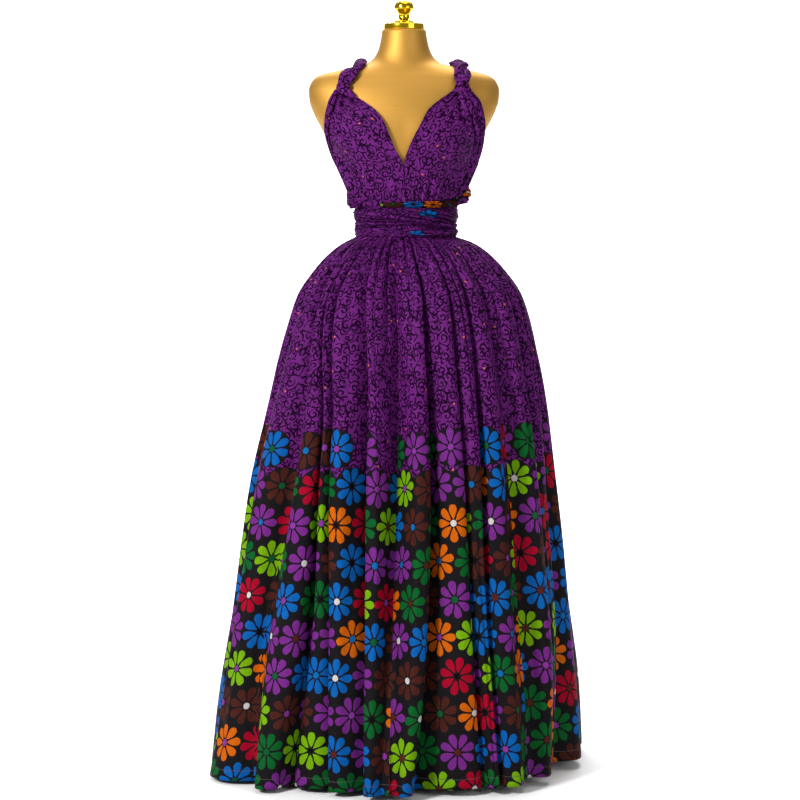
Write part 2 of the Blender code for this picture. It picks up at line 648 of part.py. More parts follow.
def make_rope(name, path, tree, turns, collection):
    """Strap twisted into a two-strand rope, laid over the shoulder of the form."""
    guide = []
    for place in path:
        angle = form_angle(place.x, place.z, place.side)
        lift = place.half_thick + SEAT
        guide.append(form_point(place.z, angle) + form_normal(place.z, angle) * lift)
    travel = [0.0]
    for first, second in zip(guide, guide[1:]):
        travel.append(travel[-1] + (second - first).length)
    stations = []
    for i in range(ROPE_STATIONS + 1):
        share = travel[-1] * i / ROPE_STATIONS
        half_width = smooth(travel, column(path, "half_width"), share)
        half_thick = smooth(travel, column(path, "half_thick"), share)
        point = Vector([smooth(travel, [p[axis] for p in guide], share) for axis in range(3)])
        seat = tree.find_nearest(point)[0]
        outward = (point - seat).normalized()
        stations.append((seat + outward * (half_thick + ROPE_SEAT), outward, half_width, half_thick))
    loops = []
    for i, (centre, outward, half_width, half_thick) in enumerate(stations):
        along = stations[min(i + 1, ROPE_STATIONS)][0] - stations[max(i - 1, 0)][0]
        along = (along - outward * along.dot(outward)).normalized()
        across = along.cross(outward).normalized()
        loop = []
        for k in range(ROPE_SIDES):
            turn = 2 * math.pi * k / ROPE_SIDES
            strand = 2 * (turn - 2 * math.pi * turns * i / ROPE_STATIONS)
            swell = 1 - ROPE_TWIST * (0.5 - 0.5 * math.cos(strand))
            sideways = across * (half_width * swell * math.cos(turn))
            loop.append(centre + sideways + outward * (half_thick * swell * math.sin(turn)))
        loops.append(loop)
    return new_object(name, tube_mesh(name, loops), PURPLE, collection)


def make_knot(collection):
    """Knot at the back of the waist, and the two ends of the straps that hang from it."""
    back = form_point(1.085, math.pi)
    half = Vector((0.0210, 0.0125, 0.0220))
    centre = Vector((back.x, back.y + SEAT + WALL + 2 * SEAM_GAP + half.y, 1.0857))
    build = bmesh.new()
    bmesh.ops.create_uvsphere(build, u_segments=16, v_segments=10, radius=1.0)
    for vertex in build.verts:
        x, y, z = (math.copysign(abs(value) ** 0.7, value) for value in vertex.co)
        vertex.co = centre + Vector((x * half.x, y * half.y, z * half.z))
    mesh = bpy.data.meshes.new("knot")
    build.to_mesh(mesh)
    build.free()
    new_object("knot", mesh, PURPLE, collection)


def main():
    for obj in list(bpy.data.objects):
        bpy.data.objects.remove(obj, do_unlink=True)
    collection = bpy.data.collections.new("ankara_dress_on_form")
    bpy.context.scene.collection.children.link(collection)
    torso = make_torso(collection)
    tree = BVHTree.FromPolygons(
        [vertex.co for vertex in torso.data.vertices],
        [polygon.vertices for polygon in torso.data.polygons],
    )
    make_stand(collection)
    make_skirt(collection)
    make_waistband(collection)
    make_bodice(collection)
    make_rope("shoulder_rope_left", ROPE_LEFT, tree, 1.3, collection)
    make_rope("shoulder_rope_right", ROPE_RIGHT, tree, -1.3, collection)
    strap_stretch("back_strap_left", BACK_STRAP_LEFT, 0.018, 3.0, 0.5, PURPLE, collection)
    strap_stretch("back_strap_right", BACK_STRAP_RIGHT, 0.018, 3.0, 0.5, PURPLE, collection)
    strap_stretch("wrap_upper", WRAP_UPPER, 0.016, 2.5, 3.0, DEEP_PURPLE, collection)
    strap_stretch("wrap_lower", WRAP_LOWER, 0.016, 2.0, 1.0, PURPLE, collection)
    make_knot(collection)
    make_tail("tail_left", TAIL_LEFT, collection)
    make_tail("tail_right", TAIL_RIGHT, collection)
    for obj in collection.objects:
        obj.location += MIDDLE


main()
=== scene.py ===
# %% [markdown]
# # A wrap-strap dress in wax print cotton, on a gold dress form
# The real dress has a full skirt of two gathered panels and two very long straps. The straps rise
# from the waist, cover the bust, are twisted over the shoulders, cross the back, and go round the
# waist as a sash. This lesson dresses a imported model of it: it loads the plain solids, then lays
# finished cloth over them. We work in metres, with +Z up and the front of the dress towards -Y.

# %% Load the frame
import math
from collections import namedtuple

import bpy
import numpy as np
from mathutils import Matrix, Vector
from mathutils.bvhtree import BVHTree


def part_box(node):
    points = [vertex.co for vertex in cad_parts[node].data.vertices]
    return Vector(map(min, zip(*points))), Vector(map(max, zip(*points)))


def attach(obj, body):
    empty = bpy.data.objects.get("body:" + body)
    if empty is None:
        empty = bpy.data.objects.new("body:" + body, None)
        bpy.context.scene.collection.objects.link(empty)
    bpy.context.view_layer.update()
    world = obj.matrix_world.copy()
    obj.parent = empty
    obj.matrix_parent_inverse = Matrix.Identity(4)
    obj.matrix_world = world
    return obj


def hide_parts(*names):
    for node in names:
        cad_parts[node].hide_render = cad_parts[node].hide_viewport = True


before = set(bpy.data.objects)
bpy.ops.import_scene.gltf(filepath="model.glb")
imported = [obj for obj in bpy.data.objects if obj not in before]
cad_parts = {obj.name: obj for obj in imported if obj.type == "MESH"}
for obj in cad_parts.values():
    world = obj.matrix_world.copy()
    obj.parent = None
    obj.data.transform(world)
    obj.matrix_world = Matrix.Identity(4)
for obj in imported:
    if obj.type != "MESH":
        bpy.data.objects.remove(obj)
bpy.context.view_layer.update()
base_low, base_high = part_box("form_base")
AXIS = np.array([(base_low.x + base_high.x) / 2, (base_low.y + base_high.y) / 2, 0.0])

# %% [markdown]
# ## The camera, the floor and the light
# The dress was photographed upright from about chest height, with a long lens, on white. So the
# camera stands 5 m away and looks down a little. A floor that curves up into a wall gives a plain
# pale ground with no edge. The light is soft: a large lamp from the upper left, a weaker one from
# the right to open the shadows, and a pale sky.

# %% Camera
CAMERA_PLACE = (-0.008, -5.0, 1.18)
CAMERA_TILT_DEGREES = 5.15
FRAME_PIXELS = 800
FOCAL_PIXELS = 2500.0
camera_data = bpy.data.cameras.new("camera")
camera_data.sensor_fit = "HORIZONTAL"
camera_data.angle = 2 * math.atan(FRAME_PIXELS / 2 / FOCAL_PIXELS)
camera = bpy.data.objects.new("camera", camera_data)
camera.location = Vector(CAMERA_PLACE) + Vector(AXIS)
camera.rotation_euler = (math.radians(90 - CAMERA_TILT_DEGREES), 0.0, 0.0)
bpy.context.scene.collection.objects.link(camera)
bpy.context.scene.camera = camera
print("camera angle", round(math.degrees(camera_data.angle), 2))

# %% Helpers that put nodes in a material
class Wire:
    """What a node gives out. It goes into other nodes, and sums on it become Math nodes."""

    def __init__(self, node, output=0):
        self.socket = node.outputs[output]

    def __add__(self, other):
        return calc("ADD", self, other)

    def __sub__(self, other):
        return calc("SUBTRACT", self, other)

    def __rsub__(self, other):
        return calc("SUBTRACT", other, self)

    def __mul__(self, other):
        return calc("MULTIPLY", self, other)

    def __truediv__(self, other):
        return calc("DIVIDE", self, other)


def feed(node, **values):
    """Set a node's inputs to values, or link wires to them."""
    for name, value in values.items():
        set_input(node, name, value)


def set_input(node, name, value):
    """Set one input to a value, or link a wire to it."""
    if isinstance(value, Wire):
        node.id_data.links.new(value.socket, node.inputs[name])
    else:
        node.inputs[name].default_value = value


def put(tree, kind, inputs=(), **settings):
    """Add a node; inputs gives values or wires by name or number, settings its own options."""
    node = tree.nodes.new("ShaderNode" + kind)
    for name, value in settings.items():
        setattr(node, name, value)
    for name, value in dict(inputs).items():
        set_input(node, name, value)
    return node


def wire(kind, inputs, output=0, **settings):
    """Add a node next to the ones that feed it; gives the wire from one of its outputs."""
    tree = next(value.socket.id_data for value in inputs.values() if isinstance(value, Wire))
    return Wire(put(tree, kind, inputs, **settings), output)


def calc(operation, *values):
    """A Math node on numbers and wires."""
    return wire("Math", dict(enumerate(values)), operation=operation)


def vectors(operation, first, second):
    """A Vector Math node on two vectors."""
    return wire("VectorMath", {0: first, 1: second}, operation=operation)


def scaled(vector, by):
    """A vector times a number."""
    return wire("VectorMath", {0: vector, "Scale": by}, operation="SCALE")


def parts(kind, value):
    """The three parts of a vector or a colour."""
    node = put(value.socket.id_data, kind, {0: value})
    return [Wire(node, index) for index in range(3)]


def noise(place, scale, detail, output="Fac"):
    """Soft noise at a place."""
    return wire("TexNoise", {"Vector": place, "Scale": scale, "Detail": detail}, output)


def wobbled(vector, place, scale, detail, by):
    """A vector moved about by noise, up to half of a distance each way."""
    centred = vectors("SUBTRACT", noise(place, scale, detail, "Color"), (0.5, 0.5, 0.5))
    return vectors("ADD", vector, scaled(centred, by))


def step_up(value, low, high):
    """0 below low, 1 above high, smooth between them."""
    inputs = {"Value": value, "From Min": low, "From Max": high}
    return wire("MapRange", inputs, interpolation_type="SMOOTHSTEP")


def step_down(value, low, high):
    """1 below low, 0 above high."""
    return 1.0 - step_up(value, low, high)


def mix_colour(share, first, second, blend="MIX"):
    """Mix two colours."""
    return wire("Mix", {0: share, 6: first, 7: second}, 2, data_type="RGBA", blend_type=blend)


def new_group(name, inputs, outputs):
    """A node group with named sockets; gives the group, its input node and its output node."""
    group = bpy.data.node_groups.new(name, "ShaderNodeTree")
    for label, kind, value in inputs:
        socket = group.interface.new_socket(label, in_out="INPUT", socket_type="NodeSocket" + kind)
        if value is not None:
            socket.default_value = value
    for label, kind in outputs:
        group.interface.new_socket(label, in_out="OUTPUT", socket_type="NodeSocket" + kind)
    return group, group.nodes.new("NodeGroupInput"), group.nodes.new("NodeGroupOutput")


def new_material(name):
    """An empty node material; gives the material, its tree and its Principled shader."""
    material = bpy.data.materials.new(name)
    material.use_nodes = True
    return material, material.node_tree, material.node_tree.nodes["Principled BSDF"]


def surface(shader, colour, uneven, roughness, bump=None):
    """Link a shader's colour, its roughness between two limits, and its bump if it has one."""
    set_input(shader, "Base Color", colour)
    limits = {"Value": uneven, "To Min": roughness[0], "To Max": roughness[1]}
    set_input(shader, "Roughness", wire("MapRange", limits))
    if bump:
        height, strength, distance = bump
        inputs = {"Strength": strength, "Distance": distance, "Height": height}
        set_input(shader, "Normal", wire("Bump", inputs))


def srgb(red, green, blue):
    """A colour as seen on a screen, 0 to 255, as the linear values that shaders take."""
    values = [channel / 255 for channel in (red, green, blue)]
    linear = [v / 12.92 if v <= 0.04045 else ((v + 0.055) / 1.055) ** 2.4 for v in values]
    return (*linear, 1.0)


# %% Floor that curves up into a wall
FLOOR_HALF_WIDTH = 6.0
FLOOR_FRONT = -7.0
WALL_BACK = 7.5
CURVE_RADIUS = 1.5
WALL_HEIGHT = 5.0
turns = [math.radians(10 * k) for k in range(10)]
outline = [(FLOOR_FRONT, 0.0)]
outline += [
    (WALL_BACK - CURVE_RADIUS + CURVE_RADIUS * math.sin(turn), CURVE_RADIUS - CURVE_RADIUS * math.cos(turn))
    for turn in turns
]
outline.append((WALL_BACK, WALL_HEIGHT))
backdrop_mesh = bpy.data.meshes.new("backdrop")
corners = [(x, y, z) for y, z in outline for x in (-FLOOR_HALF_WIDTH, FLOOR_HALF_WIDTH)]
strips = [(2 * k, 2 * k + 1, 2 * k + 3, 2 * k + 2) for k in range(len(outline) - 1)]
backdrop_mesh.from_pydata(corners, [], strips)
backdrop_mesh.shade_smooth()
backdrop = bpy.data.objects.new("backdrop", backdrop_mesh)
bpy.context.scene.collection.objects.link(backdrop)
paper, _, paper_shader = new_material("backdrop paper")
paper_shader.inputs["Base Color"].default_value = (0.95, 0.95, 0.95, 1.0)
paper_shader.inputs["Roughness"].default_value = 0.9
backdrop_mesh.materials.append(paper)

# %% Lights
def soft_lamp(name, place, aim, size, watts):
    """A square area lamp at place that faces aim."""
    lamp = bpy.data.lights.new(name, "AREA")
    lamp.size = size
    lamp.energy = watts
    holder = bpy.data.objects.new(name, lamp)
    holder.location = place
    holder.rotation_euler = (Vector(aim) - Vector(place)).to_track_quat("-Z", "Y").to_euler()
    bpy.context.scene.collection.objects.link(holder)


soft_lamp("key lamp", (-3.2, -3.6, 3.1), (0.0, 0.0, 0.85), 1.0, 300)
soft_lamp("fill lamp", (3.2, -3.6, 1.8), (0.0, 0.0, 0.8), 2.2, 54)
soft_lamp("top lamp", (0.2, 0.4, 4.2), (0.0, 0.0, 1.0), 2.0, 62)
soft_lamp("backdrop lamp", (0.0, 3.2, 4.8), (0.0, 6.0, 0.6), 4.0, 620)
world = bpy.data.worlds.new("pale sky")
world.use_nodes = True
world.node_tree.nodes["Background"].inputs["Color"].default_value = (1.0, 1.0, 1.0, 1.0)
world.node_tree.nodes["Background"].inputs["Strength"].default_value = 0.25
bpy.context.scene.world = world
bpy.context.scene.view_settings.view_transform = "Standard"

# %% [markdown]
# ## Curves and the shape of the form
# Every piece of cloth lies on the dress form or hangs from it, so we first need the form's surface
# as a function. It is a stack of level sections: a table gives the half width and the depth of
# each, and a smooth curve runs through them. The curve may never overshoot its points, or the
# cloth would bulge between two sections, so its slope at a point is the harmonic mean of the
# slopes beside it.

# %% Smooth curves
def curve(xs, ys):
    """A smooth curve through points that never overshoots; gives a function of x."""
    xs, ys = np.asarray(xs, float), np.asarray(ys, float)
    steps = np.diff(xs)
    slopes = np.diff(ys) / steps
    tangents = np.concatenate([slopes[:1], np.zeros(len(xs) - 2), slopes[-1:]])
    for i in range(1, len(xs) - 1):
        if slopes[i - 1] * slopes[i] > 0:
            tangents[i] = 2 * slopes[i - 1] * slopes[i] / (slopes[i - 1] + slopes[i])

    def at(x):
        x = np.clip(x, xs[0], xs[-1])
        i = np.clip(np.searchsorted(xs, x) - 1, 0, len(xs) - 2)
        t = (x - xs[i]) / steps[i]
        rising = ys[i] * (1 + 2 * t) * (1 - t) ** 2 + steps[i] * tangents[i] * t * (1 - t) ** 2
        return rising + ys[i + 1] * t ** 2 * (3 - 2 * t) - steps[i] * tangents[i + 1] * t ** 2 * (1 - t)

    return at


def table(kind, rows):
    """Rows of numbers as named tuples."""
    return [kind(*row) for row in rows]


def column_curves(rows, along=None, sign=1):
    """A smooth curve of each column of a table, against distances along it or its heights."""
    rows = rows[::sign]
    along = [row.z for row in rows] if along is None else along
    return {label: curve(along, [getattr(row, label) for row in rows]) for label in rows[0]._fields}


def read_all(curves, place):
    """Each of some curves at the same places."""
    return {label: at(place) for label, at in curves.items()}


def unit(vectors):
    """Vectors of length one."""
    return vectors / np.maximum(np.linalg.norm(vectors, axis=-1, keepdims=True), 1e-12)


# %% Sections of the form
NECK_TOP = 1.4654
Section = namedtuple("Section", "z middle half_width front back")
TORSO = table(Section, [
    (0.8, 0.004, 0.15, 0.092, 0.105),
    (0.86, 0.004, 0.168, 0.104, 0.124),
    (0.92, 0.004, 0.165, 0.106, 0.126),
    (0.98, 0.004, 0.142, 0.104, 0.112),
    (1.03, 0.004, 0.112, 0.094, 0.092),
    (1.06, 0.004, 0.0945, 0.086, 0.082),
    (1.09, 0.004, 0.0905, 0.084, 0.079),
    (1.125, 0.004, 0.0985, 0.087, 0.081),
    (1.17, 0.003, 0.115, 0.094, 0.086),
    (1.205, 0.002, 0.129, 0.098, 0.09),
    (1.232, 0.001, 0.142, 0.101, 0.093),
    (1.256, 0.0, 0.156, 0.102, 0.095),
    (1.28, 0.0, 0.169, 0.101, 0.096),
    (1.304, 0.0, 0.181, 0.097, 0.095),
    (1.328, 0.0, 0.1885, 0.09, 0.092),
    (1.347, 0.0, 0.1895, 0.082, 0.087),
    (1.363, 0.0, 0.184, 0.073, 0.081),
    (1.375, 0.0, 0.171, 0.066, 0.075),
    (1.383, 0.0, 0.145, 0.061, 0.07),
    (1.391, 0.0, 0.108, 0.057, 0.065),
    (1.399, 0.0, 0.076, 0.054, 0.06),
    (1.41, 0.0, 0.0605, 0.051, 0.055),
    (1.425, 0.0, 0.052, 0.048, 0.05),
    (1.445, 0.0, 0.0465, 0.0455, 0.0455),
    (NECK_TOP, 0.0, 0.0435, 0.0435, 0.0435),
])
torso_curves = column_curves(TORSO)
BUST_RISE = 0.018
BUST_PLACE = (36.0, 1.248)
BUST_SPREAD = (22.0, 0.044)


def form_point(z, angle, lift=0.0):
    """Points of the form; the angle is 0 at the front and grows towards +X."""
    z, angle, lift = np.broadcast_arrays(np.asarray(z, float), angle, lift)
    facing = np.cos(angle) >= 0
    across = (np.abs(np.degrees(angle)) - BUST_PLACE[0]) / BUST_SPREAD[0]
    bust = BUST_RISE * np.exp(-across ** 2 - ((z - BUST_PLACE[1]) / BUST_SPREAD[1]) ** 2)
    depth = np.where(facing, torso_curves["front"](z), torso_curves["back"](z))
    reach = lift + np.where(facing, bust, 0.0)
    x = torso_curves["middle"](z) + (torso_curves["half_width"](z) + reach) * np.sin(angle)
    return np.stack([x, -(depth + reach) * np.cos(angle), z], -1)


def form_normal(z, angle):
    """Outward directions of the form's surface."""
    step = 0.002
    z, angle = np.asarray(z), np.asarray(angle)
    sideways = form_point(z, angle + step) - form_point(z, angle - step)
    upwards = form_point(z + step, angle) - form_point(z - step, angle)
    return unit(np.cross(sideways, upwards))


def form_angle(x, z, side=1):
    """Angle of the form's point at an x and a height, at the front or the back."""
    widest = math.sin(math.radians(87.0))
    sine = (x - torso_curves["middle"](z)) / torso_curves["half_width"](z)
    angle = np.arcsin(np.clip(sine, -widest, widest))
    return np.where(np.asarray(side) > 0, angle, np.copysign(math.pi, x) - angle)


print("form", len(TORSO), "sections, shoulders", round(2 * TORSO[15].half_width, 3))

# %% [markdown]
# ## Making sheets and tubes
# Cloth is a thin closed shell: an outer side, an inner side one wall behind it, and rims. Each
# shell gets two UV maps. "Cloth" is measured in metres on the flat cloth, so the print keeps its
# real size on every piece, and it may jump where cloth is hidden in a fold. "OFBake" spreads the
# same faces over the unit square without overlap, which a baked texture needs.

# %% Mesh builders
COTTON_WALL = 0.0009


def finish_mesh(name, points, faces, cloth_uv, bake_uv, material, replaced):
    """Make the object with both UV maps and its material, put it under the root, hide what it replaces."""
    mesh = bpy.data.meshes.new(name)
    mesh.from_pydata((points + AXIS).tolist(), [], [list(face) for face in faces])
    for label, values in (("Cloth", cloth_uv), ("OFBake", bake_uv)):
        layer = mesh.uv_layers.new(name=label)
        layer.data.foreach_set("uv", np.asarray(values, np.float32).ravel())
    mesh.shade_smooth()
    mesh.materials.append(material)
    piece = bpy.data.objects.new(name, mesh)
    bpy.context.scene.collection.objects.link(piece)
    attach(piece, "root")
    if replaced:
        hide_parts(replaced)
    print(name, "triangles", sum(len(face) - 2 for face in faces))
    return piece


def run_along(points, axis=0):
    """Distance along the rows or columns of points, 0 at the first."""
    steps = np.linalg.norm(np.diff(points, axis=axis), axis=-1)
    start = np.zeros_like(np.take(steps, [0], axis=axis))
    return np.concatenate([start, np.cumsum(steps, axis)], axis)


def grid_normals(points, closed=False):
    """Outward normals of a grid of points whose rows run down and whose columns run right."""
    right = np.gradient(points, axis=1)
    if closed:
        right[:, 0] = right[:, -1] = points[:, 1] - points[:, -2]
    down = np.gradient(points, axis=0)
    return unit(np.cross(down, right))


def cloth_sheet(name, points, u_left, u_right, v, closed=False, replaces=None):
    """Thin closed shell under a grid of points, with the flat cloth's place of each corner."""
    rows, columns = points.shape[:2]
    inner = points - grid_normals(points, closed) * COTTON_WALL
    ring = np.arange(columns)
    if closed:
        ring[-1] = 0
    count = rows * columns
    index = np.arange(rows)[:, None] * columns + ring[None, :]
    x = np.broadcast_to(np.linspace(0, 1, columns), (rows, columns))
    y = np.broadcast_to(np.linspace(1, 0, rows)[:, None], (rows, columns))

    def corners(u, row, column, back, x_low, x_wide, y_low=0.02, y_wide=0.96):
        """A part of the grid: the points, their place on the cloth, their place in the bake."""
        cut = (row, column)
        bake = (x_low + x_wide * x[cut], y_low + y_wide * y[cut])
        return np.stack([index[cut] + count * back, u[cut], v[cut], *bake], -1)

    # The outer side, then the inner side, whose faces run the other way round
    first, second = slice(None, -1), slice(1, None)
    quad = [(first, first, u_right), (second, first, u_right)]
    quad += [(second, second, u_left), (first, second, u_left)]
    patches = [[corners(u, row, column, 0, 0.01, 0.77) for row, column, u in quad]]
    patches.append([corners(u, row, column, 1, 0.80, 0.18) for row, column, u in quad[::-1]])
    # The rims join the two sides along the top and bottom rows, and on an open sheet at its sides
    square = ((0, 0), (1, 0), (1, 1), (0, 1))
    for line, low in ((0, 0.985), (-1, 0.0)):
        ends = ((u_left, second), (u_right, first)) if line else ((u_right, first), (u_left, second))
        patches.append([corners(ends[k][0], line, ends[k][1], back, 0.0, 1.0, low + 0.012 * back, 0.0)
                        for k, back in square])
    if not closed:
        for side, low, u in ((0, 0.0, u_right), (-1, 0.992, u_left)):
            order = square if side else [(back, k) for k, back in square]
            patches.append([corners(u, (first, second)[k], side, back, low + 0.006 * back, 0.0)
                            for k, back in order])
    every = np.concatenate([points.reshape(-1, 3), inner.reshape(-1, 3)])
    quads = np.concatenate([np.stack(patch, -2).reshape(-1, 4, 5) for patch in patches])
    used, faces = np.unique(quads[..., 0].astype(int), return_inverse=True)
    return finish_mesh(name + "_cloth", every[used], faces.reshape(-1, 4), quads[..., 1:3], quads[..., 3:],
                       cotton, replaces)


def tube(name, rings, material, replaced):
    """Closed body through rings of points that run upwards, capped at both ends."""
    stations, sides = rings.shape[:2]
    middle = rings.mean(1)
    u = run_along(np.concatenate([rings, rings[:, :1]], 1), 1)
    v = np.broadcast_to(run_along(middle)[:, None], u.shape)
    index = np.arange(stations)[:, None] * sides + np.arange(sides + 1)[None, :] % sides
    x = np.broadcast_to(np.linspace(0.01, 0.99, sides + 1), index.shape)
    y = np.broadcast_to(np.linspace(0.01, 0.92, stations)[:, None], index.shape)
    grid = np.stack([index, u, v, x, y], -1)
    quads = np.stack([grid[:-1, :-1], grid[:-1, 1:], grid[1:, 1:], grid[1:, :-1]], -2).reshape(-1, 4, 5)
    faces = quads[..., 0].astype(int).tolist()
    corners = [quads[..., 1:].reshape(-1, 4)]
    turns = np.linspace(0, 2 * math.pi, sides + 1)
    for ring, hub, hub_x in ((0, stations * sides, 0.06), (stations - 1, stations * sides + 1, 0.16)):
        disc = np.stack([u[ring], v[ring], hub_x + 0.03 * np.cos(turns), 0.96 + 0.03 * np.sin(turns)], -1)
        centre = np.array([*disc[:, :2].mean(0), hub_x, 0.96])
        for i in range(sides):
            order = (i, i + 1) if ring else (i + 1, i)
            faces.append([hub, *[int(index[ring, k]) for k in order]])
            corners.append(np.stack([centre, *[disc[k] for k in order]]))
    corners = np.concatenate(corners)
    points = np.concatenate([rings.reshape(-1, 3), middle[:1], middle[-1:]])
    return finish_mesh(name, points, faces, corners[:, :2], corners[:, 2:], material, replaced)


# %% [markdown]
# ## The wax print
# The cloth is printed in two zones. The field is purple with a curling near-black line and a few
# salmon dots. Along the cloth's edge runs a broad border of eight-petalled daisies in rows on
# near-black. Both are common prints of this cloth, so we draw our own from arithmetic: a daisy is
# a petal shape repeated round a centre, and a curl is a spiral in each cell of a Voronoi pattern.

# %% Sizes of the print, in metres
DAISY_COLUMN = 0.0705
DAISY_ROW = 0.0726
DAISY_RADIUS = 0.0362
DAISY_ROWS = 10
PETALS = 8
DYE_DEPTH = 0.56
PANEL_WIDTH = 1.83
CURL_CELL = 0.0190
LINE_PITCH = 0.0076
DOT_SPACING = 0.085

# %% Node group for the curled lines of the field
field, field_in, field_out = new_group(
    "curled field", [("Cloth", "Vector", None)], [("Color", "Color"), ("Height", "Float")])
# Cells whose edges wander, with a spiral wound round the middle of each, one way or the other
cloth = Wire(field_in, "Cloth")
bent = wobbled(cloth, cloth, 44.0, 1.0, 0.0105)
rebent = wobbled(bent, cloth, 92.0, 1.0, 0.0080)
curl = {"Scale": 1 / CURL_CELL, "Randomness": 0.85}
cells = put(field, "TexVoronoi", {"Vector": bent, **curl}, voronoi_dimensions="2D")
cell_edge = wire("TexVoronoi", {"Vector": rebent, **curl}, "Distance",
                 voronoi_dimensions="2D", feature="DISTANCE_TO_EDGE")
spoke = vectors("SUBTRACT", bent, Wire(cells, "Position"))
spoke_x, spoke_y, _ = parts("SeparateXYZ", spoke)
reach = wire("VectorMath", {0: spoke}, "Value", operation="LENGTH")
chance = parts("SeparateColor", Wire(cells, "Color"))
way = calc("SIGN", chance[0] - 0.5)
turn = calc("ARCTAN2", spoke_y, spoke_x) / (2 * math.pi)
wound = calc("FRACT", turn * way + reach / LINE_PITCH + chance[1])
spiral = step_down(calc("ABSOLUTE", wound - 0.5), 0.195, 0.225)
spiral = spiral * step_down(reach, CURL_CELL * 0.44, CURL_CELL * 0.48)
# The cells' own edges are drawn too, with gaps, and salmon dots are strewn over all of it
broken = step_up(noise(bent, 120.0, 0.0), 0.38, 0.42)
ink = calc("MAXIMUM", spiral, step_down(cell_edge, 0.078, 0.092) * broken)
dot_inputs = {"Vector": scaled(cloth, 1 / DOT_SPACING), "Scale": 1.0, "Randomness": 0.9}
dot = step_down(wire("TexVoronoi", dot_inputs, "Distance", voronoi_dimensions="2D"), 0.022, 0.030)
purple = mix_colour(noise(cloth, 30.0, 3.0), srgb(102, 32, 113), srgb(138, 48, 151))
inked = mix_colour(ink, purple, srgb(34, 2, 42))
feed(field_out, Color=mix_colour(dot, inked, srgb(232, 112, 104)), Height=1.0 - ink)
print("field group", len(field.nodes), "nodes")

# %% Node group for the daisy border
DAISY_COLOURS = (
    (0.00, srgb(138, 50, 156)),
    (0.24, srgb(10, 112, 205)),
    (0.42, srgb(12, 112, 48)),
    (0.58, srgb(88, 40, 32)),
    (0.74, srgb(138, 200, 14)),
    (0.84, srgb(194, 6, 48)),
    (0.92, srgb(244, 116, 10)),
)
CENTRE_COLOURS = (
    (0.00, srgb(150, 60, 170)),
    (0.28, srgb(12, 100, 52)),
    (0.46, srgb(100, 38, 28)),
    (0.64, srgb(12, 116, 190)),
    (0.76, srgb(232, 226, 224)),
    (0.88, srgb(16, 14, 16)),
)


def colour_steps(value, stops):
    """A ramp that jumps from colour to colour."""
    ramp = put(value.socket.id_data, "ValToRGB", {"Fac": value})
    ramp.color_ramp.interpolation = "CONSTANT"
    points = ramp.color_ramp.elements
    while len(points) < len(stops):
        points.new(0.5)
    for point, (place, colour) in zip(points, stops):
        point.position = place
        point.color = colour
    return Wire(ramp, "Color")


border, border_in, border_out = new_group(
    "daisy border", [("Cloth", "Vector", None)],
    [("Color", "Color"), ("Share", "Float"), ("Height", "Float")])
# Staggered rows of cells, three chances for each cell, and the way from its middle
cloth = Wire(border_in, "Cloth")
along, up, _ = parts("SeparateXYZ", wobbled(cloth, cloth, 140.0, 2.0, 0.0030))
rows_up = up / DAISY_ROW + 0.5
row = calc("FLOOR", rows_up)
columns_on = along / DAISY_COLUMN + row * 0.5
seed = wire("CombineXYZ", {0: calc("FLOOR", columns_on), 1: row, 2: 3.0})
luck = wire("TexWhiteNoise", {"Vector": seed}, "Color", noise_dimensions="3D")
colour_luck, spin_luck, gap_luck = parts("SeparateColor", luck)
across = (calc("FRACT", columns_on) - 0.5) * (DAISY_COLUMN * 1.03)
upward = (calc("FRACT", rows_up) - 0.5) * DAISY_ROW
radius = calc("SQRT", across * across + upward * upward) / DAISY_RADIUS
# One petal, repeated round the middle: narrow at its foot, widest past its half, round at its tip
petal_turn = 2 * math.pi / PETALS
bearing = (calc("ARCTAN2", upward, across) + 2 * math.pi) / petal_turn + spin_luck * 0.9
off_petal = (calc("FRACT", bearing) - 0.5) * petal_turn
petal_along = radius * calc("COSINE", off_petal)
petal_across = calc("ABSOLUTE", radius * calc("SINE", off_petal))
length_share = wire("Clamp", {"Value": (petal_along - 0.205) / 0.795})
rounded_tip = calc("SQRT", 1.0 - calc("POWER", length_share, 3.4))
petal_half = calc("POWER", length_share, 0.72) * rounded_tip * 0.345
petal = step_up(petal_half - petal_across, 0.0, 0.014)
centre = step_down(radius, 0.165, 0.185)
# Some flowers of the top row are missing, and there are none above it
missing = calc("COMPARE", row, DAISY_ROWS - 1, 0.1) * calc("LESS_THAN", gap_luck, 0.30)
present = 1.0 - calc("MAXIMUM", missing, calc("GREATER_THAN", row, DAISY_ROWS - 0.5))
flower = calc("MAXIMUM", petal, centre) * present
# Petals a little darker here and there, a centre of another colour, and near-black between
centre_seed = vectors("ADD", seed, (7.0, 5.0, 4.0))
centre_luck = wire("TexWhiteNoise", {"Vector": centre_seed}, "Value", noise_dimensions="3D")
shade = noise(cloth, 260.0, 2.0)
petal_shade = step_up(shade, 0.30, 0.75) * 0.22
petal_colour = mix_colour(petal_shade, colour_steps(colour_luck, DAISY_COLOURS), srgb(20, 14, 22))
blossom = mix_colour(centre, petal_colour, colour_steps(centre_luck, CENTRE_COLOURS))
ground = mix_colour(shade, srgb(20, 18, 20), srgb(38, 34, 38))
# The border's upper edge is uneven, and follows the round of the flowers that it carries
EDGE = DAISY_ROW * (DAISY_ROWS - 2) + 0.62 * DAISY_RADIUS
edge_place = noise(cloth, 24.0, 2.0) * 0.050 + (EDGE - 0.025)
rim = calc("LESS_THAN", radius, 1.07) * present
below_edge = calc("MAXIMUM", calc("LESS_THAN", up, edge_place), rim)
feed(border_out, Color=mix_colour(flower, ground, blossom), Share=calc("MAXIMUM", below_edge, flower),
     Height=flower)
print("border group", len(border.nodes), "nodes")

